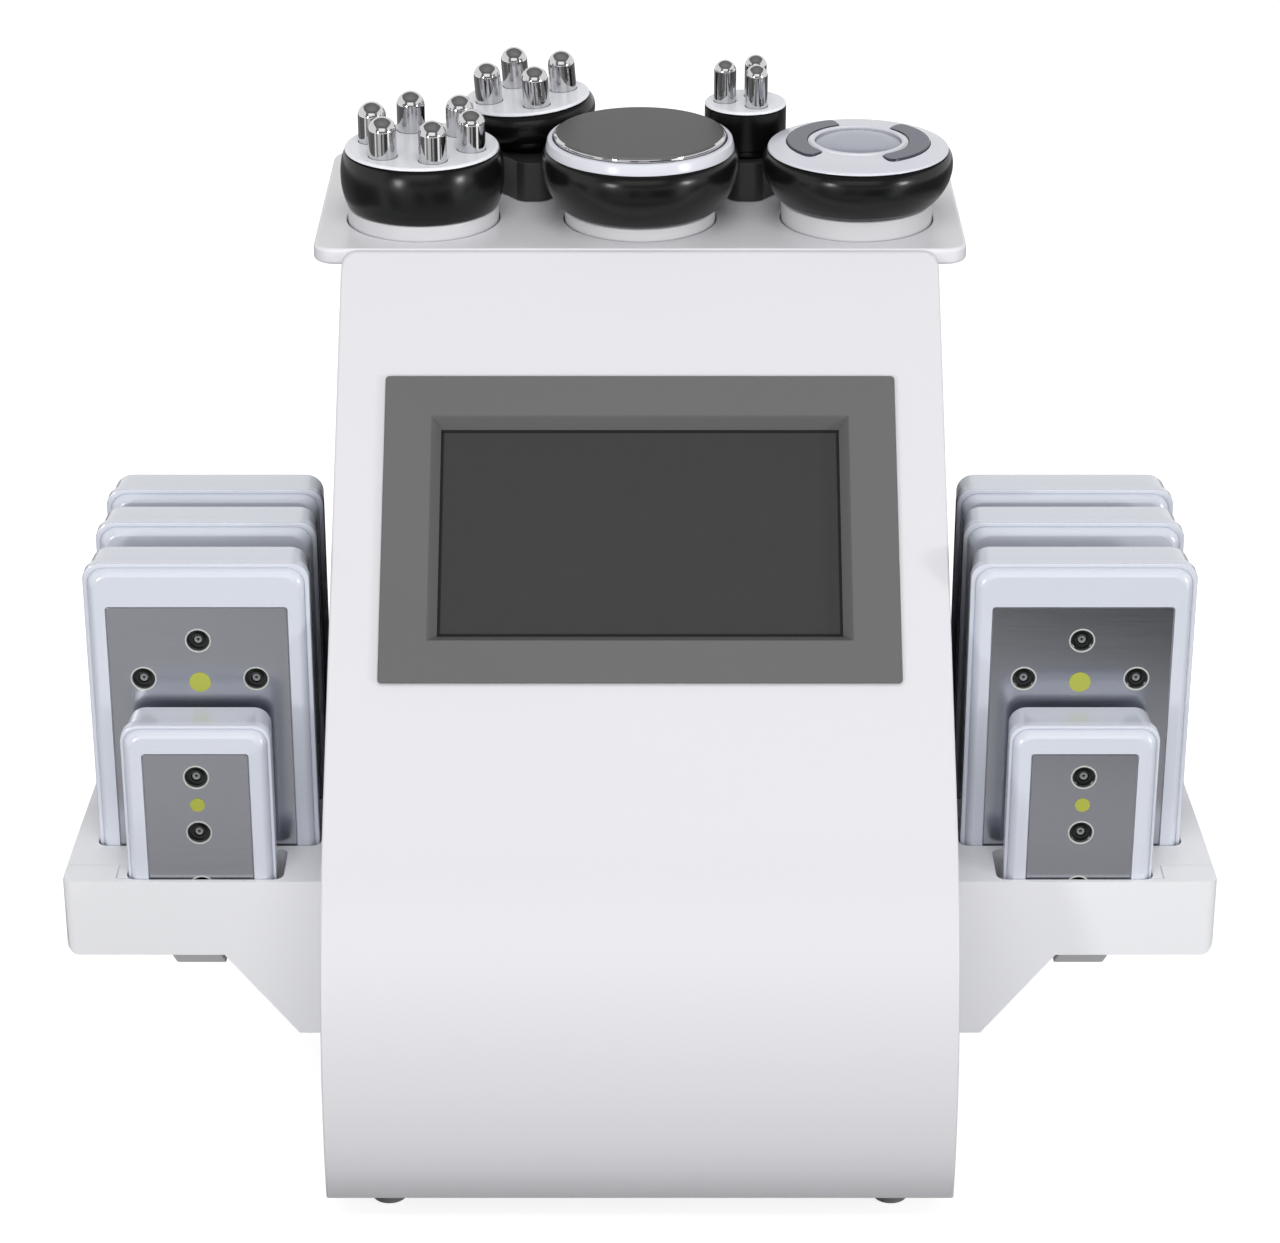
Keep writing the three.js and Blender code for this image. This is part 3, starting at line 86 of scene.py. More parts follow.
def choose(*objects):
    """Select these objects alone, with the first one active."""
    deselect()
    for obj in objects:
        obj.select_set(True)
    bpy.context.view_layer.objects.active = objects[0]


def start_editing(obj, kind="VERT"):
    """Edit an object's mesh, all selected."""
    choose(obj)
    bpy.ops.object.mode_set(mode="EDIT")
    bpy.ops.mesh.select_mode(type=kind)
    bpy.ops.mesh.select_all(action="SELECT")


def settled(obj, merge=MERGE_DISTANCE):
    """Merge doubled points, turn the faces outwards and leave edit mode."""
    bpy.ops.mesh.select_all(action="SELECT")
    bpy.ops.mesh.remove_doubles(threshold=merge)
    bpy.ops.mesh.normals_make_consistent(inside=False)
    bpy.ops.object.mode_set(mode="OBJECT")
    return obj


def fixed(obj):
    """Take an object's place, turn and size into its mesh."""
    bpy.ops.object.transform_apply(location=True, rotation=True, scale=True)
    return obj


def drawn(points):
    """Draw a line through the points. The mesh stays in edit mode, all selected."""
    deselect()
    bpy.ops.mesh.primitive_plane_add(size=PEN_SIZE, location=points[0])
    obj = fixed(bpy.context.object)
    start_editing(obj)
    bpy.ops.mesh.merge(type="CENTER")
    for here, there in zip(points, points[1:]):
        step = Vector(there) - Vector(here)
        bpy.ops.mesh.extrude_vertices_move(TRANSFORM_OT_translate={"value": step})
    bpy.ops.mesh.select_all(action="SELECT")
    return obj


def slab(outline, rise):
    """Fill a closed outline and extrude it."""
    obj = drawn(outline)
    bpy.ops.mesh.edge_face_add()
    bpy.ops.mesh.extrude_region_move(TRANSFORM_OT_translate={"value": rise})
    return settled(obj)


def plan_slab(outline, bottom, top):
    """Extrude a plan (x, y) upwards."""
    return slab([(x, y, bottom) for x, y in outline], (0, 0, top - bottom))


def front_slab(outline, front, back):
    """Extrude a front view (x, z) towards the back."""
    return slab([(x, front, z) for x, z in outline], (0, back - front, 0))


def side_slab(outline, half_width):
    """Extrude a side view (y, z) across the machine."""
    return slab([(-half_width, y, z) for y, z in outline], (2 * half_width, 0, 0))


def turned(profile, centre=ORIGIN, steps=ROUND_STEPS):
    """Spin a profile of (radius, height) points about an upright line through the centre."""
    middle = Vector(centre)
    obj = drawn([middle + Vector((radius, 0, height)) for radius, height in profile])
    bpy.ops.mesh.spin(steps=steps, angle=math.tau, center=middle, axis=(0, 0, 1))
    return settled(obj)


def block(low, high):
    """A box between two corners, used to cut with or to be shaped further."""
    low, high = Vector(low), Vector(high)
    deselect()
    bpy.ops.mesh.primitive_cube_add(size=1, location=(low + high) / 2, scale=high - low)
    return fixed(bpy.context.object)


def arc_points(centre, radius, start, end, steps):
    """Points on an arc, from one angle to another."""
    points = []
    for step in range(steps + 1):
        angle = start + (end - start) * step / steps
        points.append((centre[0] + radius * math.cos(angle), centre[1] + radius * math.sin(angle)))
    return points


def corner_arc(centre, radius, quarter, steps=CORNER_STEPS):
    """A quarter of a circle. Quarter 0 runs from its right to its top, and the others follow."""
    return arc_points(centre, radius, quarter * QUARTER, (quarter + 1) * QUARTER, steps)


def rounded_outline(half_width, half_height, corner, steps=CORNER_STEPS):
    """Points of a rounded rectangle round (0, 0)."""
    x, y = half_width - corner, half_height - corner
    points = []
    for quarter, centre in enumerate(((x, y), (-x, y), (-x, -y), (x, -y))):
        points += corner_arc(centre, corner, quarter, steps)
    return points


def moved(outline, right, up):
    return [(x + right, y + up) for x, y in outline]


def upright_bar(centre, radius, bottom, top, steps=ROUND_STEPS):
    """A vertical round cutter or post."""
    profile = [(0, bottom), (radius, bottom), (radius, top), (0, top)]
    return turned(profile, (centre[0], centre[1], 0), steps)


def level_bar(centre, radius, front, back, steps=SMALL_STEPS):
    """A round cutter or post that points straight back."""
    return front_slab(arc_points(centre, radius, 0, math.tau, steps)[:-1], front, back)


def modified(obj, kind, **settings):
    """Add one modifier and apply it."""
    modifier = obj.modifiers.new(kind.lower(), kind)
    for key, value in settings.items():
        setattr(modifier, key, value)
    choose(obj)
    bpy.ops.object.modifier_apply(modifier=modifier.name)
    return obj


def combined(obj, operation, others):
    for other in others:
        modified(obj, "BOOLEAN", operation=operation, solver="EXACT", object=other)
        bpy.data.objects.remove(other)
    return obj


def carved(obj, *cutters):
    return combined(obj, "DIFFERENCE", cutters)


def fused(obj, *others):
    return combined(obj, "UNION", others)


def softened(obj, width, steps=EDGE_STEPS, angle=CREASE):
    """Round every edge that is sharper than the angle."""
    limit = {"limit_method": "ANGLE", "angle_limit": angle}
    return modified(obj, "BEVEL", width=width, segments=steps, miter_outer="MITER_ARC", **limit)


def rounded_uprights(obj, radius):
    """Round a shape's sharp vertical edges and leave its others."""
    start_editing(obj, "EDGE")
    bpy.ops.mesh.select_all(action="DESELECT")
    bpy.ops.mesh.edges_select_sharp(sharpness=CREASE)
    bpy.ops.object.mode_set(mode="OBJECT")
    for part in (*obj.data.vertices, *obj.data.polygons):
        part.select = False
    points = obj.data.vertices
    for edge in obj.data.edges:
        start, end = (points[place].co for place in edge.vertices)
        if (start.xy - end.xy).length > abs(start.z - end.z) * UPRIGHT_SLACK:
            edge.select = False
    bpy.ops.object.mode_set(mode="EDIT")
    bpy.ops.mesh.bevel(offset=radius, segments=CORNER_STEPS, clamp_overlap=True)
    return settled(obj)


def merged(parts):
    """Join several objects into one mesh."""
    choose(*parts)
    bpy.ops.object.join()
    return bpy.context.object


def copied(obj):
    choose(obj)
    bpy.ops.object.duplicate(linked=False)
    return bpy.context.object


def mirrored(obj):
    """The same shape on the other side of the machine."""
    copy = copied(obj)
    bpy.ops.transform.resize(value=(-1, 1, 1), center_override=ORIGIN)
    start_editing(fixed(copy))
    return settled(copy)


def placed(obj, matrix):
    """Move a shape that was modelled round the origin to its place."""
    choose(obj)
    obj.matrix_world = matrix
    return fixed(obj)


def node_copy(node):
    """A merged copy of a solid part's mesh, with its flat faces whole."""
    obj = bpy.data.objects.new("copy", frame["nodes"][node].data.copy())
    bpy.context.scene.collection.objects.link(obj)
    start_editing(obj)
    bpy.ops.mesh.remove_doubles(threshold=NODE_MERGE_DISTANCE)
    bpy.ops.mesh.dissolve_limited(angle_limit=FLAT_ANGLE)
    bpy.ops.object.mode_set(mode="OBJECT")
    return obj


def dressed(obj, name, finish, *nodes, body="machine", crease=CREASE):
    """Name, shade and finish a piece, and let it ride on its body in the nodes' stead."""
    obj.name = obj.data.name = name
    choose(obj)
    bpy.ops.object.shade_smooth_by_angle(angle=crease)
    modified(obj, "WEIGHTED_NORMAL", keep_sharp=True, weight=WEIGHT_BY_AREA)
    obj.data.materials.clear()
    obj.data.materials.append(finish.material)
    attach(obj, body)
    if nodes:
        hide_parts(*nodes)
    return obj


def kept_shape(node, name, finish, edge, steps=2, body="machine"):
    """A part that keeps its solid shape, with its edges rounded."""
    dressed(softened(node_copy(node), edge, steps), name, finish, node, body=body)


# Finishes: each has a tone, a gloss and a skin that follow a noise over the object
NOISE_LOW = 0.15
NOISE_HIGH = 0.85
CLOUDS = (14, 2)
WEAR = (35, 2)
GRAIN = (1400, 2)
MARKS = (130, 2)
RIPPLES = (140, 2)
LINES_ALONG_X = (1, 3, (30, 2500, 2500))
SKIN_RELIEF = 0.00004
BRUSH_RELIEF = 0.00003
MARK_TONE = 0.02
MARK_STRENGTH = 0.02
PLASTIC_INDEX = 1.46
GLASS_INDEX = 1.5
SAME = "same as the name"
Finish = namedtuple("Finish", "material slot")


def wired(tree, node, inputs):
    """Set a node's inputs, and link those that are given as another node's output."""
    for key, value in inputs.items():
        if isinstance(value, bpy.types.NodeSocket):
            tree.links.new(value, node.inputs[key])
        else:
            node.inputs[key].default_value = value
    return node


def added(tree, kind, inputs):
    return wired(tree, tree.nodes.new(kind), inputs).outputs[0]


def noise(tree, place, scale, detail, stretch=None):
    if stretch:
        place = added(tree, "ShaderNodeMapping", {"Vector": place, "Scale": stretch})
    return added(tree, "ShaderNodeTexNoise", {"Vector": place, "Scale": scale, "Detail": detail})


def surface(name, slot, colour, tone, gloss, relief, patterns, inputs):
    material = bpy.data.materials.new(name)
    material.use_nodes = True
    tree = material.node_tree
    place = tree.nodes.new("ShaderNodeTexCoord").outputs["Object"]
    cloud, wear, skin = (noise(tree, place, *pattern) for pattern in patterns)
    ramp = tree.nodes.new("ShaderNodeValToRGB")
    ends = ((NOISE_LOW, 1 - tone), (NOISE_HIGH, 1 + tone))
    for element, (position, share) in zip(ramp.color_ramp.elements, ends):
        element.position = position
        element.color = (*(min(channel * share, 1) for channel in colour), 1)
    spread = {"From Min": NOISE_LOW, "From Max": NOISE_HIGH, "To Min": gloss[0], "To Max": gloss[1]}
    bump = {"Strength": relief[0], "Distance": relief[1], "Height": skin}
    wired(tree, tree.nodes["Principled BSDF"], {
        "Base Color": wired(tree, ramp, {"Fac": cloud}).outputs["Color"],
        "Roughness": added(tree, "ShaderNodeMapRange", {"Value": wear, **spread}),
        "Normal": added(tree, "ShaderNodeBump", bump),
        **inputs,
    })
    return Finish(material, name if slot == SAME else slot)


def moulded(name, colour, gloss, slot=SAME, tone=0.012, relief=0.05, index=PLASTIC_INDEX, coat=()):
    """Moulded plastic: a faint cloudy tone, slow changes of gloss and a fine skin."""
    inputs = {"IOR": index, **dict(coat)}
    skin = (relief, SKIN_RELIEF)
    return surface(name, slot, colour, tone, gloss, skin, (CLOUDS, WEAR, GRAIN), inputs)


def brushed(name, colour, gloss, slot=SAME, tone=0.06, relief=0.12):
    """Metal with fine lines from side to side."""
    skin = (relief, BRUSH_RELIEF)
    return surface(name, slot, colour, tone, gloss, skin, [LINES_ALONG_X] * 3, {"Metallic": 1})


def polished(name, colour, gloss, slot=SAME, metallic=1.0):
    """Polished metal or glass: clear reflections with faint handling marks."""
    inputs = {"Metallic": metallic, "IOR": GLASS_INDEX}
    skin = (MARK_STRENGTH, SKIN_RELIEF)
    return surface(name, slot, colour, MARK_TONE, gloss, skin, (MARKS, MARKS, RIPPLES), inputs)


EVEN = 0.002
PAD_COAT = {"Coat Weight": 0.8, "Coat Roughness": 0.2}
GLOSS_WHITE = moulded("gloss_white", (0.725, 0.72, 0.755), (0.28, 0.285), tone=EVEN)
TRAY_WHITE = moulded("tray_white", (0.82, 0.815, 0.85), (0.28, 0.285), tone=EVEN)
# Painted shade: the front collars are the tray's own plastic, in its slot, painted darker for the shade
# under the bulbs.
COLLAR_WHITE_PAINTED_SHADE = moulded("collar_white", (0.66, 0.66, 0.68), (0.28, 0.285), "tray_white", tone=EVEN)
HOLDER_WHITE = moulded("holder_white", (0.88, 0.885, 0.91), (0.3, 0.305), tone=EVEN)
PAD_WHITE = moulded("pad_white", (0.69, 0.72, 0.8), (0.2, 0.205), tone=EVEN, coat=PAD_COAT)
CAP_WHITE = moulded("cap_white", (0.75, 0.76, 0.825), (0.22, 0.225), tone=EVEN)
# Painted light: the pole faces are the cap's own plastic, in its slot, painted lighter to offset the
# shade that the pins cast on them.
POLE_WHITE_PAINTED_LIGHTER = moulded("pole_white", (0.9, 0.91, 0.96), (0.22, 0.225), "cap_white", tone=EVEN)
BEZEL_GREY = moulded("bezel_grey", (0.135, 0.135, 0.136), (0.42, 0.5), relief=0.12)
RISER_GREY = moulded("riser_grey", (0.03, 0.03, 0.031), (0.3, 0.36), tone=0.04)
GRIP_BLACK = moulded("grip_black", (0.005, 0.0055, 0.005), (0.22, 0.25), tone=0.04, index=1.4)
CLIP_GREY = moulded("clip_grey", (0.5, 0.5, 0.51), (0.3, 0.4))
FOOT_RUBBER = moulded("foot_rubber", (0.3, 0.3, 0.31), (0.6, 0.75), relief=0.3)
SOCKET_BLACK = moulded("socket_black", (0.012, 0.012, 0.013), (0.4, 0.5), tone=0.08)
BOARD_GREEN = moulded("board_green", (0.02, 0.1, 0.04), (0.35, 0.45), tone=0.15)
GASKET_BLACK = moulded("gasket_black", (0.01, 0.01, 0.01), (0.6, 0.7), "socket_black", relief=0.3)
DOT_YELLOW = moulded("dot_yellow", (0.42, 0.45, 0.07), (0.35, 0.45), None)
MARK_WHITE = moulded("mark_white", (0.7, 0.7, 0.7), (0.4, 0.5), None)
FLAG_BLACK = moulded("flag_black", (0.02, 0.02, 0.02), (0.8, 0.9), None)
DIODE_WELL = polished("diode_well", (0.02, 0.021, 0.022), (0.2, 0.3), "socket_black", metallic=0.2)
DIODE_CORE = polished("diode_core", (0.3, 0.31, 0.3), (0.3, 0.4), "chrome", metallic=0.3)
SCREEN_GLASS = polished("screen_glass", (0.044, 0.044, 0.044), (0.08, 0.14), metallic=0.0)
LENS_BLUE = polished("lens_blue", (0.37, 0.39, 0.46), (0.12, 0.2), metallic=0.0)
CHROME = polished("chrome", (0.62, 0.62, 0.63), (0.05, 0.1))
BRIGHT_RIM = polished("bright_rim", (0.6, 0.62, 0.58), (0.35, 0.45), "chrome", metallic=0.1)
CONTACT_GOLD = polished("contact_gold", (0.8, 0.55, 0.2), (0.15, 0.25), "chrome")
SCREW_STEEL = polished("screw_steel", (0.5, 0.5, 0.51), (0.22, 0.34), "supply_steel")
PLATE_SILVER = brushed("plate_silver", (0.49, 0.5, 0.545), (0.2, 0.26), relief=0.05)
ARC_GREY = brushed("arc_grey", (0.1, 0.105, 0.14), (0.22, 0.28), "plate_silver")
DISC_STEEL = brushed("disc_steel", (0.115, 0.115, 0.115), (0.4, 0.46), tone=0.02, relief=0.03)
SUPPLY_STEEL = brushed("supply_steel", (0.45, 0.47, 0.48), (0.3, 0.42))


# Console shells, as in the solid model
SKIN = 0.003
BELLY_RADIUS = 0.155
BELLY_RISE = 0.028
BELLY_STEPS = 56
PANEL_LEAN = math.radians(46.8)
PANEL_TOP_CORNER = 0.006
SHELL_FOOT_CORNER = 0.003
COVER_EDGE = 0.0018
COVER_DEPTH = 0.4
REAR_CORNER = 0.008
SEAM_EDGE = 0.0003
SEAM_ANGLE = math.radians(60)

# Display, in the panel's own frame: heights are counted from the panel's face
BEZEL_WIDTH = 0.2013
BEZEL_HEIGHT = 0.13
BEZEL_PROUD = 0.0015
BEZEL_CORNER = 0.0015
BEZEL_EDGE = 0.0006
VIEW_WIDTH = 0.157
VIEW_HEIGHT = 0.0878
RECESS_DEPTH = 0.0056
RECESS_FLARE = 0.0038
RECESS_EDGE = 0.0009
COLLAR_WALL = 0.002
DISPLAY_BORDER = 0.004
DISPLAY_THICKNESS = 0.0055
DISPLAY_EDGE = 0.0004
BOARD_EDGE = 0.0002
SUPPLY_EDGE = 0.0006
GASKET_SHOW = 0.0011
BEZEL_TOP = GAP + BEZEL_PROUD
COLLAR_BOTTOM = BEZEL_TOP - RECESS_DEPTH
DISPLAY_TOP = COLLAR_BOTTOM - GAP
COLLAR_HALF_X = VIEW_WIDTH / 2 + RECESS_FLARE + COLLAR_WALL
COLLAR_HALF_Y = VIEW_HEIGHT / 2 + RECESS_FLARE + COLLAR_WALL

# Tray, wells and the raised step behind them
TRAY_THICKNESS = 0.0068
TRAY_CORNER = 0.009
TRAY_EDGE = 0.0016
SEAT_DEPTH = 0.0045
SEAT_RADIUS = 0.0315
SEAT_EDGE = 0.0007
WELL_RADIUS = 0.024
WELL_WALL = 0.0025
WELL_DEPTH = 0.112
REAR_WELL_DEPTH = 0.084
REAR_WELL_GAP = 0.0018
LEAD_HOLE_RADIUS = 0.006
RISER_RIM = 0.006
RISER_SETBACK = 0.0186
RISER_EDGE = 0.0009
RISER_CORNER = 0.004
RISER_SHORTEST = 0.0028
RISER_TUCK = 0.00005
BAY_GAP = 0.0025


def side_outline(inset, bottom, top, back):
    """Outline of the console's front seen from the side, set in from its outer skin."""
    low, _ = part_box("front_shell")
    centre = (low.y + BELLY_RADIUS, low.z + BELLY_RISE)
    radius = BELLY_RADIUS - inset
    start = math.pi - math.asin((bottom - centre[1]) / radius)
    points = arc_points(centre, radius, start, math.pi - PANEL_LEAN, BELLY_STEPS)
    end_y, end_z = points[-1]
    top_y = end_y + (top - end_z) * math.tan(PANEL_LEAN)
    return [*points, (top_y, top), (back, top), (back, bottom)]


def panel_matrix():
    """Places what is modelled on the display: x across, y up the slope, z out of the panel."""
    low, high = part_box("touch_screen")
    turn = Matrix.Rotation(QUARTER - PANEL_LEAN, 4, "X")
    depth = DISPLAY_TOP - DISPLAY_THICKNESS / 2
    return Matrix.Translation((low + high) / 2) @ turn @ Matrix.Translation((0, 0, -depth))


def front_cover():
    low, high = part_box("front_shell")
    tray_low, tray_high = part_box("top_tray")
    half_width, parting = high.x, high.y
    foot = low.z - 2 * SHELL_FOOT_CORNER
    cover = side_slab(side_outline(0, foot, high.z, parting + COVER_EDGE * 2), half_width)
    upper = (PANEL_TOP_CORNER, high.z - PANEL_TOP_CORNER)
    lower = (SHELL_FOOT_CORNER, foot + SHELL_FOOT_CORNER)
    view = []
    for quarter, (side, (corner, z)) in enumerate(((1, upper), (-1, upper), (-1, lower), (1, lower))):
        view += corner_arc((side * (half_width - corner), z), corner, quarter)
    front = low.y - OVERRUN
    combined(cover, "INTERSECT", [front_slab(view, front, front + COVER_DEPTH)])
    softened(cover, COVER_EDGE, 4)
    ceiling = tray_high.z - TRAY_THICKNESS - GAP
    inside = side_outline(SKIN, low.z - OVERRUN, ceiling - SKIN, parting + OVERRUN * 2)
    side = half_width + OVERRUN
    x, y = COLLAR_HALF_X + GAP, COLLAR_HALF_Y + GAP
    carved(
        cover,
        side_slab(inside, half_width - SKIN),
        block((-side, tray_low.y - GAP, ceiling), (side, FAR, FAR)),
        block((-FAR, parting, -FAR), (FAR, FAR, FAR)),
        block((-FAR, -FAR, -FAR), (FAR, FAR, low.z)),
        placed(block((-x, -y, -2 * SKIN - OVERRUN), (x, y, SKIN + OVERRUN)), panel_matrix()),
    )
    dressed(cover, "front_cover", GLOSS_WHITE, "front_shell")


# Rear wall: grille, sockets, vents and screws
GRILLE_SLOT = 0.004
GRILLE_PITCH = 0.0076
GRILLE_ROWS = 7
GRILLE_REACH = 0.0272
VENT_ROWS = 6
VENT_HEIGHT = 0.004
VENT_PITCH = 0.009
VENT_BOTTOM = 0.071
VENT_INSET = 0.024
SLOT_END_SHARE = 0.49
SLOT_END_STEPS = 4
SLOT_EDGE = 0.0004
SOCKET_REACH = 0.006
INLET_RIM = 0.0025
Sockets = namedtuple("Sockets", "node name radius columns rows")
HEAD_SOCKETS = Sockets("handle_sockets", "head_sockets", 0.0075, 5, 1)
PAD_SOCKETS = Sockets("pad_sockets", "pad_sockets", 0.005, 2, 4)


def socket_places(sockets):
    """Middle of each socket, spread evenly over the sockets' board."""
    low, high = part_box(sockets.node)
    inset = sockets.radius + SOCKET_REACH
    places = []
    for row in range(sockets.rows):
        up_share = row / (sockets.rows - 1) if sockets.rows > 1 else 1 / 2
        for column in range(sockets.columns):
            x = low.x + inset + column / (sockets.columns - 1) * (high.x - low.x - 2 * inset)
            places.append((x, low.z + inset + up_share * (high.z - low.z - 2 * inset)))
    return places


def slot_outline(half_length, height):
    return rounded_outline(half_length, height / 2, height * SLOT_END_SHARE, SLOT_END_STEPS)


def rear_cover():
    low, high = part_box("rear_housing")
    half_width = high.x
    plan = [(half_width, low.y), (-half_width, low.y)]
    for side, quarter in ((-1, 1), (1, 0)):
        centre = (side * (half_width - REAR_CORNER), high.y - REAR_CORNER)
        plan += corner_arc(centre, REAR_CORNER, quarter)[::-1]
    cover = softened(plan_slab(plan, low.z, high.z), SEAM_EDGE, 2, SEAM_ANGLE)
    inside, outside = high.y - SKIN, high.y + OVERRUN
    wall = half_width - SKIN
    cut = [block((-wall, low.y - OVERRUN, low.z - OVERRUN), (wall, inside, high.z + OVERRUN))]
    fan_low, fan_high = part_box("fan_frame")
    for row in range(GRILLE_ROWS):
        offset = (row - (GRILLE_ROWS - 1) / 2) * GRILLE_PITCH
        edge = abs(offset) + GRILLE_SLOT / 2
        outline = slot_outline(math.sqrt(GRILLE_REACH**2 - edge**2), GRILLE_SLOT)
        outline = moved(outline, 0, (fan_high.z + fan_low.z) / 2 + offset)
        cut.append(front_slab(outline, inside - OVERRUN, outside))
    vent_front, vent_back = low.y + VENT_INSET, high.y - VENT_INSET
    for row in range(VENT_ROWS):
        middle = VENT_BOTTOM + row * VENT_PITCH + VENT_HEIGHT / 2
        outline = slot_outline((vent_back - vent_front) / 2, VENT_HEIGHT)
        outline = moved(outline, (vent_front + vent_back) / 2, middle)
        cut.append(side_slab(outline, half_width + OVERRUN))
    for sockets in (HEAD_SOCKETS, PAD_SOCKETS):
        for place in socket_places(sockets):
            cut.append(level_bar(place, sockets.radius + GAP, inside - OVERRUN, outside))
    inlet_low, inlet_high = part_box("power_inlet")
    rim = INLET_RIM - GAP
    cut.append(block(
        (inlet_low.x + rim, inside - OVERRUN, inlet_low.z + rim),
        (inlet_high.x - rim, outside, inlet_high.z - rim),
    ))
    carved(cover, *cut)
    softened(cover, SLOT_EDGE, 2, WIDE_CREASE)
    dressed(cover, "rear_cover", GLOSS_WHITE, "rear_housing")


FOOT_RADIUS = 0.008
FOOT_TIP_RADIUS = 0.007
FOOT_EDGE = 0.0009
FOOT_HOLLOW = 0.003


def base_and_feet():
    kept_shape("base_plate", "bottom_plate", SUPPLY_STEEL, SLOT_EDGE)
    tip, edge = FOOT_TIP_RADIUS, FOOT_EDGE
    for place in ("front_left", "front_right", "rear_left", "rear_right"):
        low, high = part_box(f"foot_{place}")
        middle = (low + high) / 2
        profile = [(0, FOOT_HOLLOW), (tip / 3, FOOT_HOLLOW), (tip / 3, edge), (tip / 3 + edge, 0)]
        profile += [(tip - edge, 0), (tip - edge / 3, edge / 3), (tip, edge)]
        profile += [(FOOT_RADIUS, high.z - edge), (FOOT_RADIUS - edge, high.z), (0, high.z)]
        foot = turned(profile, (middle.x, middle.y, 0), POST_STEPS)
        dressed(foot, f"{place}_foot", FOOT_RUBBER, f"foot_{place}")


# Treatment heads, each modelled with the underside of its collar at the origin
BULB_FULLNESS = 0.6
BULB_STEPS = 22
BULB_EDGE = 0.0007
COLLAR_EDGE = 0.0008
FACE_THICKNESS = 0.0015
FACE_EDGE = 0.0011
FACE_PLUG = 0.0025
CARRIER_THICKNESS = 0.002
GLAND_RADIUS = 0.005
GLAND_TIP_SHARE = 0.8
GLAND_LENGTH = 0.005
STEM_EDGE = 0.002
TAPER_STEPS = 8
DOME_STEPS = 9
Pins = namedtuple("Pins", "count radius margin height turn")
SIX_PINS = Pins(6, 0.0058, 0.0016, 0.0165, math.radians(-15))
FOUR_PINS = Pins(4, 0.0056, 0.0018, 0.0165, math.radians(17))
THREE_PINS = Pins(3, 0.0046, 0.0013, 0.0175, math.radians(60))
Head = namedtuple(
    "Head",
    "name collar_radius collar_height bulb_height foot_radius swell rim_radius rim_wall bowl_depth "
    "neck_radius neck_length stem_taper stem_radius stem_length",
)
SIX_POLE = Head(
    "six_pole", 0.031, 0.0102, 0.0227, 0.0305, 0.0025, 0.0316, 0.003, 0.007,
    0.023, 0.008, 0.022, 0.017, 0.1,
)
CAVITATION = Head(
    "cavitation", 0.031, 0.0092, 0.0242, 0.031, 0.0049, 0.0385, 0.0035, 0.005,
    0.023, 0.008, 0.024, 0.018, 0.1,
)
PHOTON = Head(
    "photon", 0.031, 0.0122, 0.0205, 0.0305, 0.0044, 0.037, 0.003, 0.007,
    0.023, 0.008, 0.024, 0.018, 0.1,
)
FOUR_POLE = Head(
    "four_pole", 0.022, 0.003, 0.012, 0.0245, 0.0028, 0.0266, 0.003, 0.006,
    0.017, 0.02, 0.012, 0.012, 0.088,
)
THREE_POLE = Head(
    "three_pole", 0.0164, 0.003, 0.015, 0.017, 0.0, 0.017, 0.0025, 0.006,
    0.013, 0.02, 0.006, 0.0115, 0.088,
)
FRONT_HEADS = (SIX_POLE, CAVITATION, PHOTON)
REAR_HEADS = (FOUR_POLE, THREE_POLE)


def lift_axis(head):
    """The way a head lifts out, which is also its stem's direction."""
    joint = next(joint for joint in frame["joints"] if joint["name"] == f"{head.name}_lift")
    return Vector(joint["axis"]).normalized()


def head_seat(head):
    """Middle of the underside of a head's collar."""
    low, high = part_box(f"{head.name}_collar")
    return (low + high) / 2 - lift_axis(head) * head.collar_height / 2


def head_turn(head):
    axis = lift_axis(head)
    return math.atan2(axis.x, axis.z)


def lean_share(head):
    return math.sin(abs(head_turn(head)))


def eased(share):
    return (1 - math.cos(math.pi * share)) / 2


def bulb_side(head):
    """The bulb's side from its foot to its rim."""
    foot = head.collar_height + GAP
    points = []
    for step in range(BULB_STEPS + 1):
        rise = eased(step / BULB_STEPS)
        straight = head.foot_radius + (head.rim_radius - head.foot_radius) * rise
        swell = head.swell * max(math.sin(math.pi * rise), 0) ** BULB_FULLNESS
        points.append((straight + swell, foot + head.bulb_height * rise))
    return points


def bulb_top(head):
    return head.collar_height + GAP + head.bulb_height


def bowl_radius(head):
    return head.rim_radius - head.rim_wall


def bowl_floor(head):
    return bulb_top(head) - head.bowl_depth


def well(centre, radius, bottom, under, top):
    """A cup under the tray as a solid post, and the cutter of its inside and of its lead hole."""
    floor = bottom + WELL_WALL
    outer, hole = radius + WELL_WALL, LEAD_HOLE_RADIUS
    post = [(0, bottom), (radius, bottom), (outer, floor), (outer, under), (0, under)]
    inside = [(0, bottom - OVERRUN), (hole, bottom - OVERRUN), (hole, floor), (radius, floor)]
    inside += [(radius, top), (0, top)]
    place = (centre.x, centre.y, 0)
    return turned(post, place), turned(inside, place)


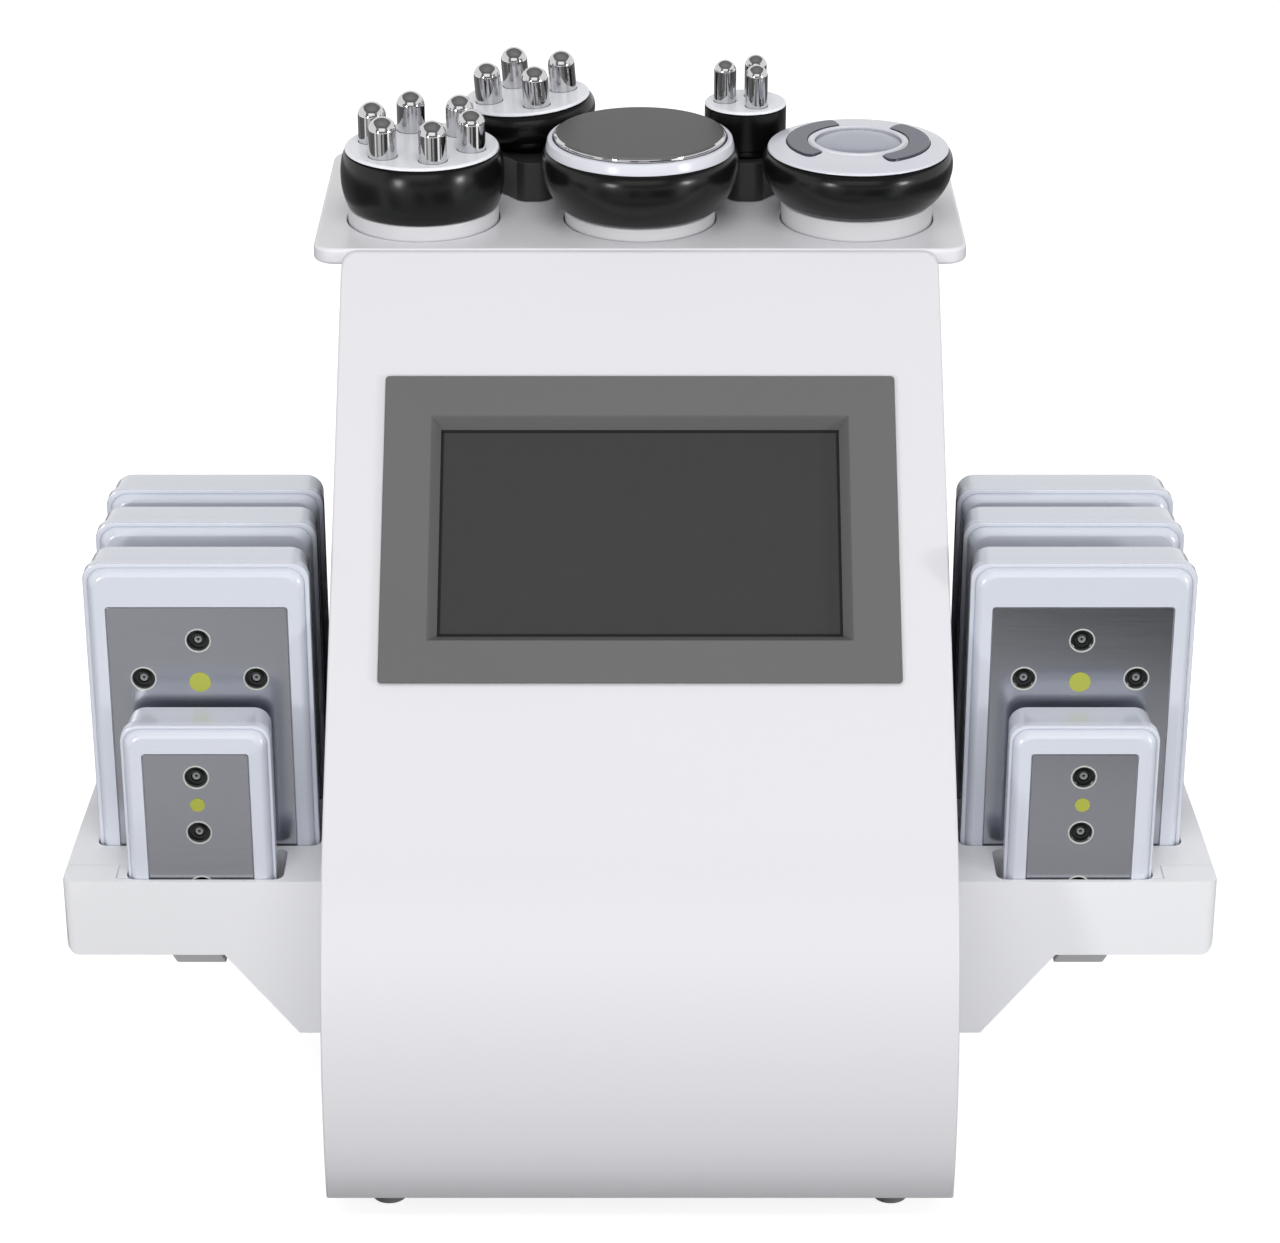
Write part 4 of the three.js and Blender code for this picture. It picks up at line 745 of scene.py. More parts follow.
def tray():
    low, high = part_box("top_tray")
    top = high.z
    bottom = top - TRAY_THICKNESS
    outline = rounded_outline(high.x, (high.y - low.y) / 2, TRAY_CORNER)
    outline = [(x, (low.y + high.y) / 2 + y, bottom) for x, y in outline]
    plate = softened(slab(outline, (0, 0, TRAY_THICKNESS)), TRAY_EDGE, 4)
    wells = [(head_seat(head), WELL_RADIUS, WELL_DEPTH) for head in FRONT_HEADS]
    for head in REAR_HEADS:
        stem = head.stem_radius + head.stem_length * lean_share(head)
        neck = head.neck_radius + head.neck_length * lean_share(head)
        wells.append((head_seat(head), max(stem, neck) + REAR_WELL_GAP, REAR_WELL_DEPTH))
    posts, insides = zip(*(
        well(centre, radius, top - depth, bottom + GAP, top + OVERRUN) for centre, radius, depth in wells
    ))
    fused(plate, *posts)
    floor = top - SEAT_DEPTH
    wide = SEAT_RADIUS + SEAT_EDGE
    seat = [(0, floor), (SEAT_RADIUS, floor), (SEAT_RADIUS, top - SEAT_EDGE)]
    seat += [(SEAT_RADIUS + SEAT_EDGE / 3, top - SEAT_EDGE / 3), (wide, top)]
    seat += [(wide, top + OVERRUN), (0, top + OVERRUN)]
    for head in FRONT_HEADS:
        centre = head_seat(head)
        carved(plate, turned(seat, (centre.x, centre.y, 0)))
    carved(plate, *insides)
    start_editing(plate)
    dressed(settled(plate), "tray_moulding", TRAY_WHITE, "top_tray")


def top_outline(obj):
    """The outline of a shape's flat top, from its leftmost point on."""
    points = obj.data.vertices
    top = max(point.co.z for point in points)
    sides = set()
    for face in obj.data.polygons:
        if face.normal.z > FACING_UP and face.center.z > top - GAP:
            corners = list(face.vertices)
            sides.update(zip(corners, corners[1:] + corners[:1]))
    following = {start: end for start, end in sides if (end, start) not in sides}
    place = min(following, key=lambda corner: points[corner].co.x)
    outline = []
    for _ in following:
        outline.append(points[place].co.xy)
        place = following[place]
    return outline


def without_short_edges(outline, shortest):
    """Draw the points of a closed outline together where they stand too close."""
    wide = [outline[0]]
    for point in outline[1:]:
        if (point - wide[-1]).length < shortest:
            wide[-1] = (wide[-1] + point) / 2
        else:
            wide.append(point)
    if (wide[0] - wide[-1]).length < shortest:
        wide[0] = (wide[0] + wide.pop()) / 2
    return wide


def riser():
    low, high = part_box("rear_riser")
    rounds = []
    for head in REAR_HEADS:
        lifted = high.z - low.z + head.collar_radius * lean_share(head)
        hole = head.neck_radius + REAR_WELL_GAP + lifted * lean_share(head)
        rounds.append((head_seat(head), hole))
    front_row = head_seat(CAVITATION).y
    bay_radius = max(radius for radius, _ in bulb_side(CAVITATION)) + BAY_GAP
    left = min(centre.x - radius - RISER_RIM for centre, radius in rounds)
    right = max(centre.x + radius + RISER_RIM for centre, radius in rounds)
    plan = block(
        (left + RISER_TUCK, front_row + RISER_SETBACK, low.z - 2 * OVERRUN),
        (right - RISER_TUCK, front_row + bay_radius + RISER_RIM, high.z + 2 * OVERRUN),
    )
    cut = (low.z - OVERRUN, high.z + OVERRUN, POST_STEPS)
    for centre, radius in rounds:
        fused(plan, upright_bar(centre, radius + RISER_RIM, *cut))
    combined(plan, "INTERSECT", [block((-FAR, -FAR, low.z), (FAR, FAR, high.z))])
    for head in FRONT_HEADS:
        carved(plan, upright_bar(head_seat(head), bay_radius, *cut))
    start_editing(plan)
    outline = without_short_edges(top_outline(settled(plan)), RISER_SHORTEST)
    bpy.data.objects.remove(plan)
    step = rounded_uprights(plan_slab(outline, low.z, high.z), RISER_CORNER)
    for centre, radius in rounds:
        carved(step, upright_bar(centre, radius, *cut))
    softened(step, RISER_EDGE, 3, WIDE_CREASE)
    dressed(step, "riser_step", RISER_GREY, "rear_riser")


def head_piece(head, piece, name, finish, node, crease=CREASE):
    """Seat a piece of a head and dress it."""
    lean = Matrix.Rotation(head_turn(head), 4, "Y")
    placed(piece, Matrix.Translation(head_seat(head)) @ lean)
    names = (f"{head.name}_{name}", finish, f"{head.name}_{node}")
    return dressed(piece, *names, body=f"{head.name}_head", crease=crease)


def grip(head, bowl=()):
    """The black handle: its stem, its bulb and the bowl that the face closes."""
    bottom = -head.stem_length
    tip = bottom - GLAND_LENGTH
    profile = [(0, tip), (GLAND_RADIUS * GLAND_TIP_SHARE, tip), (GLAND_RADIUS, tip / 2 + bottom / 2)]
    profile += [(GLAND_RADIUS, bottom)]
    centre = (head.stem_radius - STEM_EDGE, bottom + STEM_EDGE)
    profile += corner_arc(centre, STEM_EDGE, -1, EDGE_STEPS)
    taper_bottom = -head.neck_length - head.stem_taper
    for step in range(TAPER_STEPS + 1):
        share = step / TAPER_STEPS
        radius = head.stem_radius + (head.neck_radius - head.stem_radius) * eased(share)
        profile.append((radius, taper_bottom + head.stem_taper * share))
    profile += [(head.neck_radius, head.collar_height + GAP), *bulb_side(head)]
    inside = bowl_radius(head)
    bowl = [(inside, bowl_floor(head)), *bowl]
    profile += [(inside, bulb_top(head)), *bowl, (0, bowl[-1][1])]
    head_piece(head, turned(profile), "handle", GRIP_BLACK, "grip", WIDE_CREASE)


def collar(head, finish):
    inner = head.neck_radius + GAP
    side = head.collar_radius - COLLAR_EDGE
    height = head.collar_height
    profile = [(inner, 0), *corner_arc((side, COLLAR_EDGE), COLLAR_EDGE, -1, EDGE_STEPS)]
    profile += corner_arc((side, height - COLLAR_EDGE), COLLAR_EDGE, 0, EDGE_STEPS)
    profile += [(inner, height), (inner, 0)]
    head_piece(head, turned(profile), "base_ring", finish, "collar")


def pole_head(head, pins, collar_finish):
    """A head with domed pins on a carrier under its cap, which has a hole for each pin."""
    grip(head)
    collar(head, collar_finish)
    rim = bulb_top(head) + GAP
    top = rim + FACE_THICKNESS
    plug = bowl_radius(head) - GAP
    profile = [(0, rim - FACE_PLUG), (plug, rim - FACE_PLUG), (plug, rim)]
    profile += [(head.rim_radius - BULB_EDGE, rim)]
    centre = (head.rim_radius - FACE_EDGE, top - FACE_EDGE)
    profile += [*corner_arc(centre, FACE_EDGE, 0, SOFT_STEPS), (0, top)]
    cap = turned(profile)
    circle = bowl_radius(head) - pins.radius - pins.margin
    places = arc_points(ORIGIN, circle, pins.turn, pins.turn + math.tau, pins.count)[:-1]
    for place in places:
        cut = (rim - FACE_PLUG - OVERRUN, top + OVERRUN, SMALL_STEPS)
        carved(cap, upright_bar(place, pins.radius + GAP, *cut))
    # The cap takes the pole faces' white, painted lighter against the pins' shade.
    head_piece(head, cap, "cap", POLE_WHITE_PAINTED_LIGHTER, "face")

    bottom = bowl_floor(head) + GAP
    dome = corner_arc((0, top + pins.height - pins.radius), pins.radius, 0, DOME_STEPS)
    profile = [(0, bottom), (pins.radius, bottom), *dome]
    carrier_radius = bowl_radius(head) - 2 * GAP
    parts = [upright_bar(ORIGIN, carrier_radius, bottom, bottom + CARRIER_THICKNESS)]
    parts += [turned(profile, (*place, 0), PIN_STEPS) for place in places]
    head_piece(head, merged(parts), "pins", CHROME, "electrodes")


# Cavitation head
STACK_RADIUS = 0.015
STACK_LENGTH = 0.018
RING_HEIGHT = 0.0045
RING_WALL = 0.0026
DISC_PROUD = 0.002
DISC_THICKNESS = 0.008
DISC_BEVEL = 0.0011


def cavitation_head():
    head = CAVITATION
    rim = bulb_top(head) + GAP
    disc_top = rim + RING_HEIGHT + DISC_PROUD
    disc_bottom = disc_top - DISC_THICKNESS
    inner = head.rim_radius - RING_WALL
    stack_bottom = disc_bottom - STACK_LENGTH
    pit = STACK_RADIUS + GAP
    grip(head, [(pit, bowl_floor(head)), (pit, stack_bottom - GAP)])
    collar(head, COLLAR_WHITE_PAINTED_SHADE)

    ring_top = rim + RING_HEIGHT
    centre = (head.rim_radius - 3 * FACE_EDGE / 2, ring_top - FACE_EDGE)
    profile = [(inner, rim), (head.rim_radius, rim), (head.rim_radius, rim + FACE_EDGE)]
    profile += corner_arc(centre, FACE_EDGE, 0, SOFT_STEPS)
    profile += [(inner, ring_top), (inner, rim)]
    head_piece(head, turned(profile), "white_ring", CAP_WHITE, "ring")

    side = bowl_radius(head) - 2 * GAP
    edge = inner - 2 * GAP
    profile = [(0, stack_bottom), (STACK_RADIUS, stack_bottom), (STACK_RADIUS, disc_bottom)]
    profile += [(side, disc_bottom), (side, rim), (edge, rim), (edge, disc_top - DISC_BEVEL)]
    profile += [(edge - DISC_BEVEL / 4, disc_top - DISC_BEVEL / 2)]
    profile += [(edge - DISC_BEVEL, disc_top), (0, disc_top)]
    disc = head_piece(head, turned(profile, steps=DISC_STEPS), "disc", CHROME, "transducer")
    disc.data.materials.append(DISC_STEEL.material)
    face_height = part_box("cavitation_transducer")[1].z - GAP
    for face in disc.data.polygons:
        if face.center.z > face_height and face.normal.z > FACING_UP:
            face.material_index = 1


# Photon head
FACE_DOME = 0.002
LENS_RADIUS = 0.0174
LENS_DOME = 0.0008
LENS_FALL = 4
RIDGE_WIDTH = 0.0022
RIDGE_RISE = 0.0005
ARC_GAP = 0.0009
ARC_WIDTH = 0.0085
ARC_SPAN = math.radians(118)
ARC_TURNS = (math.radians(166.5), math.radians(-8))
ARC_PROUD = 0.0004
ARC_EDGE = 0.0004
ARC_CORNER = 0.0032
ARC_STEPS = 14


def arc_band(inner, outer, span, turn, bottom, top):
    """A band of a ring, centred on one direction."""
    start, end = turn - span / 2, turn + span / 2
    outline = arc_points(ORIGIN, outer, start, end, ARC_STEPS)
    outline += arc_points(ORIGIN, inner, end, start, ARC_STEPS)
    return plan_slab(outline, bottom, top)


def photon_head():
    head = PHOTON
    rim = bulb_top(head) + GAP
    edge_top = rim + FACE_THICKNESS
    face_top = edge_top + FACE_DOME
    floor = bowl_floor(head) + GAP
    under = rim - FACE_PLUG
    bore = LENS_RADIUS + GAP
    ridge = bore + RIDGE_WIDTH
    inner = ridge + ARC_GAP
    outer = inner + ARC_WIDTH
    grip(head)
    collar(head, COLLAR_WHITE_PAINTED_SHADE)

    plug = bowl_radius(head) - GAP
    profile = [(bore, under), (plug, under), (plug, rim), (head.rim_radius - BULB_EDGE, rim)]
    centre = (head.rim_radius - FACE_EDGE, edge_top - FACE_EDGE)
    profile += arc_points(centre, FACE_EDGE, 0, math.pi / 3, 4)
    profile += [(outer + ARC_GAP, face_top - RIDGE_RISE), (ridge, face_top)]
    ridge_top = face_top + RIDGE_RISE
    profile += [(ridge - RIDGE_RISE / 3, ridge_top - RIDGE_RISE / 4), (ridge - RIDGE_RISE, ridge_top)]
    profile += [(bore + RIDGE_RISE, ridge_top), (bore, ridge_top - RIDGE_RISE), (bore, under)]
    cap = turned(profile)
    span = ARC_SPAN + 2 * GAP / inner
    for turn in ARC_TURNS:
        heights = (under - OVERRUN, face_top + OVERRUN)
        slot = arc_band(inner - GAP, outer + GAP, span, turn, *heights)
        carved(cap, rounded_uprights(slot, ARC_CORNER))
    head_piece(head, cap, "cap", CAP_WHITE, "face")

    carrier = floor + CARRIER_THICKNESS
    profile = [(inner, floor), (outer, floor), (outer, carrier), (inner, carrier), (inner, floor)]
    parts = [turned(profile)]
    for turn in ARC_TURNS:
        band = arc_band(inner, outer, ARC_SPAN, turn, floor, face_top + ARC_PROUD)
        parts.append(softened(rounded_uprights(band, ARC_CORNER), ARC_EDGE, 3, WIDE_CREASE))
    head_piece(head, merged(parts), "arcs", ARC_GREY, "electrodes")

    profile = [(0, floor), (LENS_RADIUS, floor), (LENS_RADIUS, face_top - LENS_DOME)]
    profile += [(LENS_RADIUS - LENS_DOME / 4, face_top - LENS_DOME)]
    for step in range(1, DOME_STEPS + 1):
        side = 1 - step / DOME_STEPS
        height = face_top + LENS_DOME - 2 * LENS_DOME * side**LENS_FALL
        profile.append((LENS_RADIUS * side, height))
    head_piece(head, turned(profile), "window", LENS_BLUE, "lens")


def flared(outline, layers, depth_axis, centre):
    """Carry a filled outline along an axis through (depth, stretch) layers."""
    obj = drawn(outline)
    bpy.ops.mesh.edge_face_add()
    for (before, _), (after, stretch) in zip(layers, layers[1:]):
        step = depth_axis * (after - before)
        bpy.ops.mesh.extrude_region_move(TRANSFORM_OT_translate={"value": step})
        middle = Vector(centre) + depth_axis * after
        bpy.ops.transform.resize(value=stretch, center_override=middle)
    return settled(obj)


def funnel():
    """The cutter of the bezel's recess: a chamfered mouth, sloping walls and the view itself."""
    x, y = VIEW_WIDTH / 2, VIEW_HEIGHT / 2
    layers = (
        (COLLAR_BOTTOM - OVERRUN, 0),
        (COLLAR_BOTTOM, 0),
        (BEZEL_TOP - RECESS_EDGE, RECESS_FLARE - RECESS_EDGE),
        (BEZEL_TOP, RECESS_FLARE),
        (BEZEL_TOP + OVERRUN, RECESS_FLARE + OVERRUN),
    )
    steps = [(layers[0][0], None)]
    for (_, inset), (height, flare) in zip(layers, layers[1:]):
        steps.append((height, ((x + flare) / (x + inset), (y + flare) / (y + inset), 1)))
    corners = ((-x, -y), (x, -y), (x, y), (-x, y))
    outline = [(*corner, layers[0][0]) for corner in corners]
    return flared(outline, steps, Vector((0, 0, 1)), ORIGIN)


def display():
    turn = panel_matrix()
    outline = rounded_outline(BEZEL_WIDTH / 2, BEZEL_HEIGHT / 2, BEZEL_CORNER)
    bezel = softened(plan_slab(outline, GAP, BEZEL_TOP), BEZEL_EDGE, 3)
    x, y = COLLAR_HALF_X, COLLAR_HALF_Y
    fused(bezel, block((-x, -y, COLLAR_BOTTOM), (x, y, BEZEL_TOP - BEZEL_PROUD / 2)))
    carved(bezel, funnel())
    dressed(placed(bezel, turn), "bezel_frame", BEZEL_GREY, "screen_bezel")

    x, y = VIEW_WIDTH / 2 + DISPLAY_BORDER, VIEW_HEIGHT / 2 + DISPLAY_BORDER
    outline = rounded_outline(x, y, DISPLAY_BORDER / 4, EDGE_STEPS)
    screen = plan_slab(outline, DISPLAY_TOP - DISPLAY_THICKNESS, DISPLAY_TOP)
    placed(softened(screen, DISPLAY_EDGE, 2), turn)
    dressed(screen, "screen_glass", SCREEN_GLASS, "touch_screen")

    gasket = block((-x, -y, DISPLAY_TOP), (x, y, COLLAR_BOTTOM))
    x, y = VIEW_WIDTH / 2 - GASKET_SHOW, VIEW_HEIGHT / 2 - GASKET_SHOW
    carved(gasket, block((-x, -y, -FAR), (x, y, FAR)))
    dressed(placed(gasket, turn), "screen_gasket", GASKET_BLACK)
    kept_shape("control_board", "display_board", BOARD_GREEN, BOARD_EDGE, 1)
    kept_shape("power_supply", "supply_can", SUPPLY_STEEL, SUPPLY_EDGE)


# Light pads, modelled with the middle of the front face's bottom edge at the origin
Pad = namedtuple(
    "Pad",
    "width height thickness corner window_side window_top window_bottom diode_top diode_drop "
    "diode_side dot_drop dot_radius cover_inset",
)
LARGE_PAD = Pad(
    0.0874, 0.1391, 0.024, 0.0065, 0.0087, 0.0173, 0.0085, 0.0141, 0.0163, 0.0219,
    0.0319, 0.0042, 0.0019,
)
SMALL_PAD = Pad(
    0.058, 0.0851, 0.024, 0.006, 0.0086, 0.0108, 0.0085, 0.0099, 0.0241, 0.0,
    0.0219, 0.0029, 0.0014,
)
PAD_FLANGE_SHARE = 0.34
PAD_FLANGE_EDGE = 0.0006
PAD_COVER_EDGE = 0.0036
PAD_COVER_PROUD = 0.003
PAD_COVER_START = math.radians(14)
PAD_EDGE_STEPS = 7
PAD_GROOVE = 0.0004
PAD_BACK_EDGE = 0.002
PAD_BACK_STEP = 0.0008
PAD_GLAND_RADIUS = 0.0035
PAD_GLAND_LENGTH = 0.004
PAD_GLAND_RIBS = 4
PAD_GLAND_NECK = 0.8
PAD_GLAND_RISE = 0.6
WINDOW_RECESS = 0.0016
WINDOW_SINK = 0.0003
WINDOW_CORNER = 0.001
WINDOW_GAP = 0.0002
WINDOW_EDGE = 0.00015
DIODE_RADIUS = 0.0045
DIODE_RIM = 0.0006
DIODE_RIM_RISE = 0.00028
DIODE_DEPTH = 0.0045
DIODE_MOUTH = 0.0003

# A diode's stepped well and its light, as shares of its radius and depths behind the window
WELL_STEPS = (
    (0.86, 0.0006), (0.84, 0.0018), (0.62, 0.0019), (0.58, 0.0009), (0.46, 0.0008), (0.42, 0.0024),
    (0, 0.0024),
)
CORE_STEPS = (
    (0.12, 0.0023), (0.12, 0.0013), (0.2, 0.0009), (0.3, 0.0009), (0.36, 0.0013), (0.36, 0.0023),
    (0.12, 0.0023),
)


def diode_places(pad):
    """Diodes on a window: two threes on a large pad, a column of three on a small one."""
    window_top = pad.height - pad.window_top
    top = window_top - pad.diode_top
    lower = top - pad.diode_drop
    if pad.diode_side:
        upper_half = [(0, top), (-pad.diode_side, lower), (pad.diode_side, lower)]
        mirror = window_top + pad.window_bottom
        return upper_half + [(x, mirror - z) for x, z in upper_half]
    return [(0, top), (0, lower), (0, 2 * lower - top)]


def window_slab(pad, room, corner, front, back):
    """A pad's window with some room round it, from one depth to another."""
    half = pad.width / 2 - pad.window_side + room
    low, high = pad.window_bottom - room, pad.height - pad.window_top + room
    outline = rounded_outline(half, (high - low) / 2, corner)
    return front_slab(moved(outline, 0, (low + high) / 2), front, back)


def pad_case(pad):
    """A pad's shell, as (depth, inset) layers from its domed cover to its rear edge."""
    half_x, half_z = pad.width / 2, pad.height / 2
    edge = PAD_COVER_EDGE / math.cos(PAD_COVER_START)
    centre = (PAD_COVER_EDGE, pad.cover_inset + edge)
    layers = arc_points(centre, edge, math.pi + PAD_COVER_START, 3 * QUARTER, PAD_EDGE_STEPS)
    front, rim = PAD_COVER_PROUD, PAD_FLANGE_EDGE
    back = pad.thickness * PAD_FLANGE_SHARE
    layers += [(front + PAD_GROOVE, pad.cover_inset), (front, pad.cover_inset - PAD_GROOVE)]
    layers += [(front, rim), (front + rim / 3, rim / 3), (front + rim, 0), (back - rim, 0)]
    layers += [(back, rim / 2), (back, PAD_BACK_STEP)]
    centre = (pad.thickness - PAD_BACK_EDGE, PAD_BACK_STEP + 2 * GAP + PAD_BACK_EDGE)
    layers += corner_arc(centre, PAD_BACK_EDGE, -1, SOFT_STEPS)
    depth, inset = layers[0]
    outline = rounded_outline(half_x - inset, half_z - inset, pad.corner)
    steps = [(depth, None)]
    for (_, before), (depth, after) in zip(layers, layers[1:]):
        stretch = ((half_x - after) / (half_x - before), 1, (half_z - after) / (half_z - before))
        steps.append((depth, stretch))
    outline = [(x, layers[0][0], half_z + z) for x, z in outline]
    case = flared(outline, steps, Vector((0, 1, 0)), (0, 0, half_z))

    carved(case, window_slab(pad, GAP, WINDOW_CORNER + GAP, -OVERRUN, WINDOW_RECESS))
    for place in diode_places(pad):
        carved(case, level_bar(place, DIODE_RADIUS, 0, DIODE_DEPTH + GAP))
    radius, rise = PAD_GLAND_RADIUS, PAD_GLAND_LENGTH / PAD_GLAND_RIBS
    profile = [(0, PAD_BACK_STEP - PAD_GLAND_LENGTH)]
    for rib in range(PAD_GLAND_RIBS):
        foot = PAD_BACK_STEP - PAD_GLAND_LENGTH + rise * rib
        profile += [(radius, foot), (radius, foot + rise / 2)]
        profile += [(radius * PAD_GLAND_NECK, foot + rise * PAD_GLAND_RISE)]
    profile += [(radius, PAD_BACK_EDGE), (0, PAD_BACK_EDGE)]
    return fused(case, turned(profile, (0, pad.thickness / 2, 0), SMALL_STEPS))


def pad_window(pad):
    plate = window_slab(pad, -WINDOW_GAP, WINDOW_CORNER, WINDOW_SINK, WINDOW_RECESS - GAP)
    softened(plate, WINDOW_EDGE, 2)
    for place in diode_places(pad):
        carved(plate, level_bar(place, DIODE_RADIUS + DIODE_RIM / 2, -OVERRUN, OVERRUN))
    return plate


def diode_set(pad):
    """The bright rims, the dark stepped wells and the ring round each well's light."""
    radius, rim = DIODE_RADIUS, DIODE_RIM
    front, back = -DIODE_RIM_RISE, DIODE_DEPTH / 2
    wall = radius - GAP / 3
    ring = [(radius, back), (radius, front + rim / 4), (radius + rim / 4, front)]
    ring += [(radius + rim * 3 / 4, front), (radius + rim, 0), (radius + rim / 3, 0)]
    ring += [(radius + rim / 3, back), (radius, back)]
    well = [(wall, DIODE_DEPTH), (wall, DIODE_MOUTH)]
    well += [(radius * share, depth) for share, depth in WELL_STEPS]
    core = [(radius * share, depth) for share, depth in CORE_STEPS]
    turn = Matrix.Rotation(QUARTER, 4, "X")
    pieces = []
    for profile in (ring, well, core):
        parts = []
        for x, z in diode_places(pad):
            part = turned([(reach, -depth) for reach, depth in profile], steps=SMALL_STEPS)
            parts.append(placed(part, Matrix.Translation((x, WINDOW_SINK, z)) @ turn))
        pieces.append(merged(parts))
    return pieces


def pad_family(pad, names):
    """Model one pad and give each of the named pads its own copy."""
    rims, wells, cores = diode_set(pad)
    middle = (0, pad.height - pad.window_top - pad.dot_drop)
    dot = level_bar(middle, pad.dot_radius, WINDOW_SINK - GAP / 2, WINDOW_SINK, POST_STEPS)
    parts = (
        (pad_case(pad), "shell", PAD_WHITE, "case"),
        (pad_window(pad), "plate", PLATE_SILVER, "window"),
        (rims, "diode_rims", BRIGHT_RIM, None),
        (wells, "diode_wells", DIODE_WELL, None),
        (cores, "diode_cores", DIODE_CORE, None),
        (softened(dot, GAP / 4, 2), "dot", DOT_YELLOW, None),
    )
    for name in names:
        low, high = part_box(f"{name}_case")
        place = Vector(((low.x + high.x) / 2, low.y, high.z - pad.height))
        for part, suffix, finish, node in parts:
            piece = copied(part)
            bpy.ops.transform.translate(value=place)
            nodes = [f"{name}_{node}"] if node else []
            dressed(fixed(piece), f"{name}_{suffix}", finish, *nodes, body=name)
    for part, *_ in parts:
        bpy.data.objects.remove(part)


# Pad holders, modelled on the right and mirrored to the left
HOLDER_HEIGHT = 0.0328
HOLDER_WALL = 0.003
HOLDER_CORNER = 0.005
HOLDER_TAPER = 0.004
HOLDER_EDGE = 0.0018
GUSSET_REACH = 0.0433
GUSSET_FOOT = 0.015
GUSSET_DROP = 0.0357
POCKET_GAP = 0.0006
POCKET_CORNER = 0.004
LARGE_POCKET = (0.018, 0, 0.0024)
SMALL_POCKET = (0.02, 0.0022, 0.0016)
INLAY_SEAM = 0.0006
INLAY_SEAM_DEPTH = 0.0009
INLAY_BACK = 0.0135
INLAY_FRONT = 0.0025
INLAY_SIDE = 0.0035
CLIP_SLANT = 0.0043
CLIP_EDGE = 0.0007


def pocket_block(pad, centre, margin, room, bottom, top, corner):
    """A pocket round a pad's foot, with more room on the console's side."""
    half_width = pad.width / 2 + margin + room / 2
    outline = rounded_outline(half_width, pad.thickness / 2 + margin, corner)
    return plan_slab(moved(outline, centre.x - room / 2, centre.y), bottom, top)


def inlay_seams(low, high):
    """The parting line of the holder's upper inlay beside the small pad's pocket."""
    pocket_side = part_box("small_pad_right_case")[1].x + POCKET_GAP
    side = pocket_side + INLAY_SIDE
    back, front = low.y + INLAY_BACK, low.y + INLAY_FRONT
    floor, top = high.z - INLAY_SEAM_DEPTH, high.z + OVERRUN
    seam = INLAY_SEAM
    return [
        block((side, back, floor), (high.x + OVERRUN, back + seam, top)),
        block((side, front, floor), (side + seam, back + seam / 2, top)),
        block((pocket_side - OVERRUN, front, floor), (side + seam, front + seam, top)),
    ]


def holder():
    low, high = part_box("pad_holder_right")
    inner, width, top = low.x, high.x - low.x, high.z
    bottom = top - HOLDER_HEIGHT
    edge = HOLDER_WALL / 2
    corner = HOLDER_CORNER
    profile = [(0, top), (0, low.z), (GUSSET_FOOT, low.z), (GUSSET_REACH, bottom)]
    profile += corner_arc((width - corner, bottom + corner), corner, -1)
    profile += corner_arc((width - edge, top - edge), edge, 0, 4)
    body = front_slab(moved(profile, inner, 0), low.y, high.y)
    plan = [(0, high.y), (0, low.y), *corner_arc((width - corner, low.y + corner), corner, -1)]
    plan += corner_arc((width - corner - HOLDER_TAPER, high.y - corner), corner, 0)
    plan = plan_slab(moved(plan, inner, 0), low.z - OVERRUN, high.z + OVERRUN)
    softened(combined(body, "INTERSECT", [plan]), HOLDER_EDGE, 4)
    roof, floor = top - HOLDER_WALL, bottom + HOLDER_WALL
    far = width - HOLDER_TAPER - HOLDER_WALL
    room = [(-OVERRUN, roof), (-OVERRUN, floor - GUSSET_DROP)]
    room += [(GUSSET_FOOT - edge, floor - GUSSET_DROP), (GUSSET_REACH - edge, floor)]
    room += [(far, floor), (far, roof)]
    room = moved(room, inner, 0)
    carved(body, front_slab(room, low.y + HOLDER_WALL, high.y - HOLDER_WALL))
    pads = [(SMALL_PAD, "small_pad_right", SMALL_POCKET)]
    pads += [(LARGE_PAD, f"large_pad_right_{place}", LARGE_POCKET) for place in (1, 2, 3)]
    cups, pockets = [], []
    for pad, name, (depth, room, wall) in pads:
        case_low, case_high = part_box(f"{name}_case")
        centre = Vector(((case_low.x + case_high.x) / 2, case_low.y + pad.thickness / 2, 0))
        pocket = top - depth - GAP
        cup = (POCKET_GAP + wall, room, pocket - wall, roof + GAP, POCKET_CORNER + wall)
        cups.append(pocket_block(pad, centre, *cup))
        pocket_room = (POCKET_GAP, room, pocket, top + OVERRUN, POCKET_CORNER)
        pockets.append(pocket_block(pad, centre, *pocket_room))
        lead = PAD_GLAND_RADIUS + 2 * POCKET_GAP
        heights = (pocket - wall - OVERRUN, pocket + OVERRUN)
        pockets.append(upright_bar(centre, lead, *heights, SMALL_STEPS))
    carved(fused(body, *cups), *pockets, *inlay_seams(low, high))
    other = mirrored(body)
    dressed(body, "right_holder", HOLDER_WHITE, "pad_holder_right")
    dressed(other, "left_holder", HOLDER_WHITE, "pad_holder_left")


def lead_clips():
    """Bent clips whose ends slant in towards the console on their way down."""
    for side, sign in (("left", -1), ("right", 1)):
        low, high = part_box(f"lead_clip_{side}")
        near, far = sorted((abs(low.x), abs(high.x)))
        outline = [(near + CLIP_SLANT, high.z), (far, high.z), (far - CLIP_SLANT, low.z)]
        outline = [(sign * x, z) for x, z in [*outline, (near, low.z)]]
        slant = front_slab(outline, low.y - OVERRUN, high.y + OVERRUN)
        clip = combined(node_copy(f"lead_clip_{side}"), "INTERSECT", [slant])
        softened(clip, CLIP_EDGE, 3)
        dressed(clip, f"{side}_clip", CLIP_GREY, f"lead_clip_{side}")


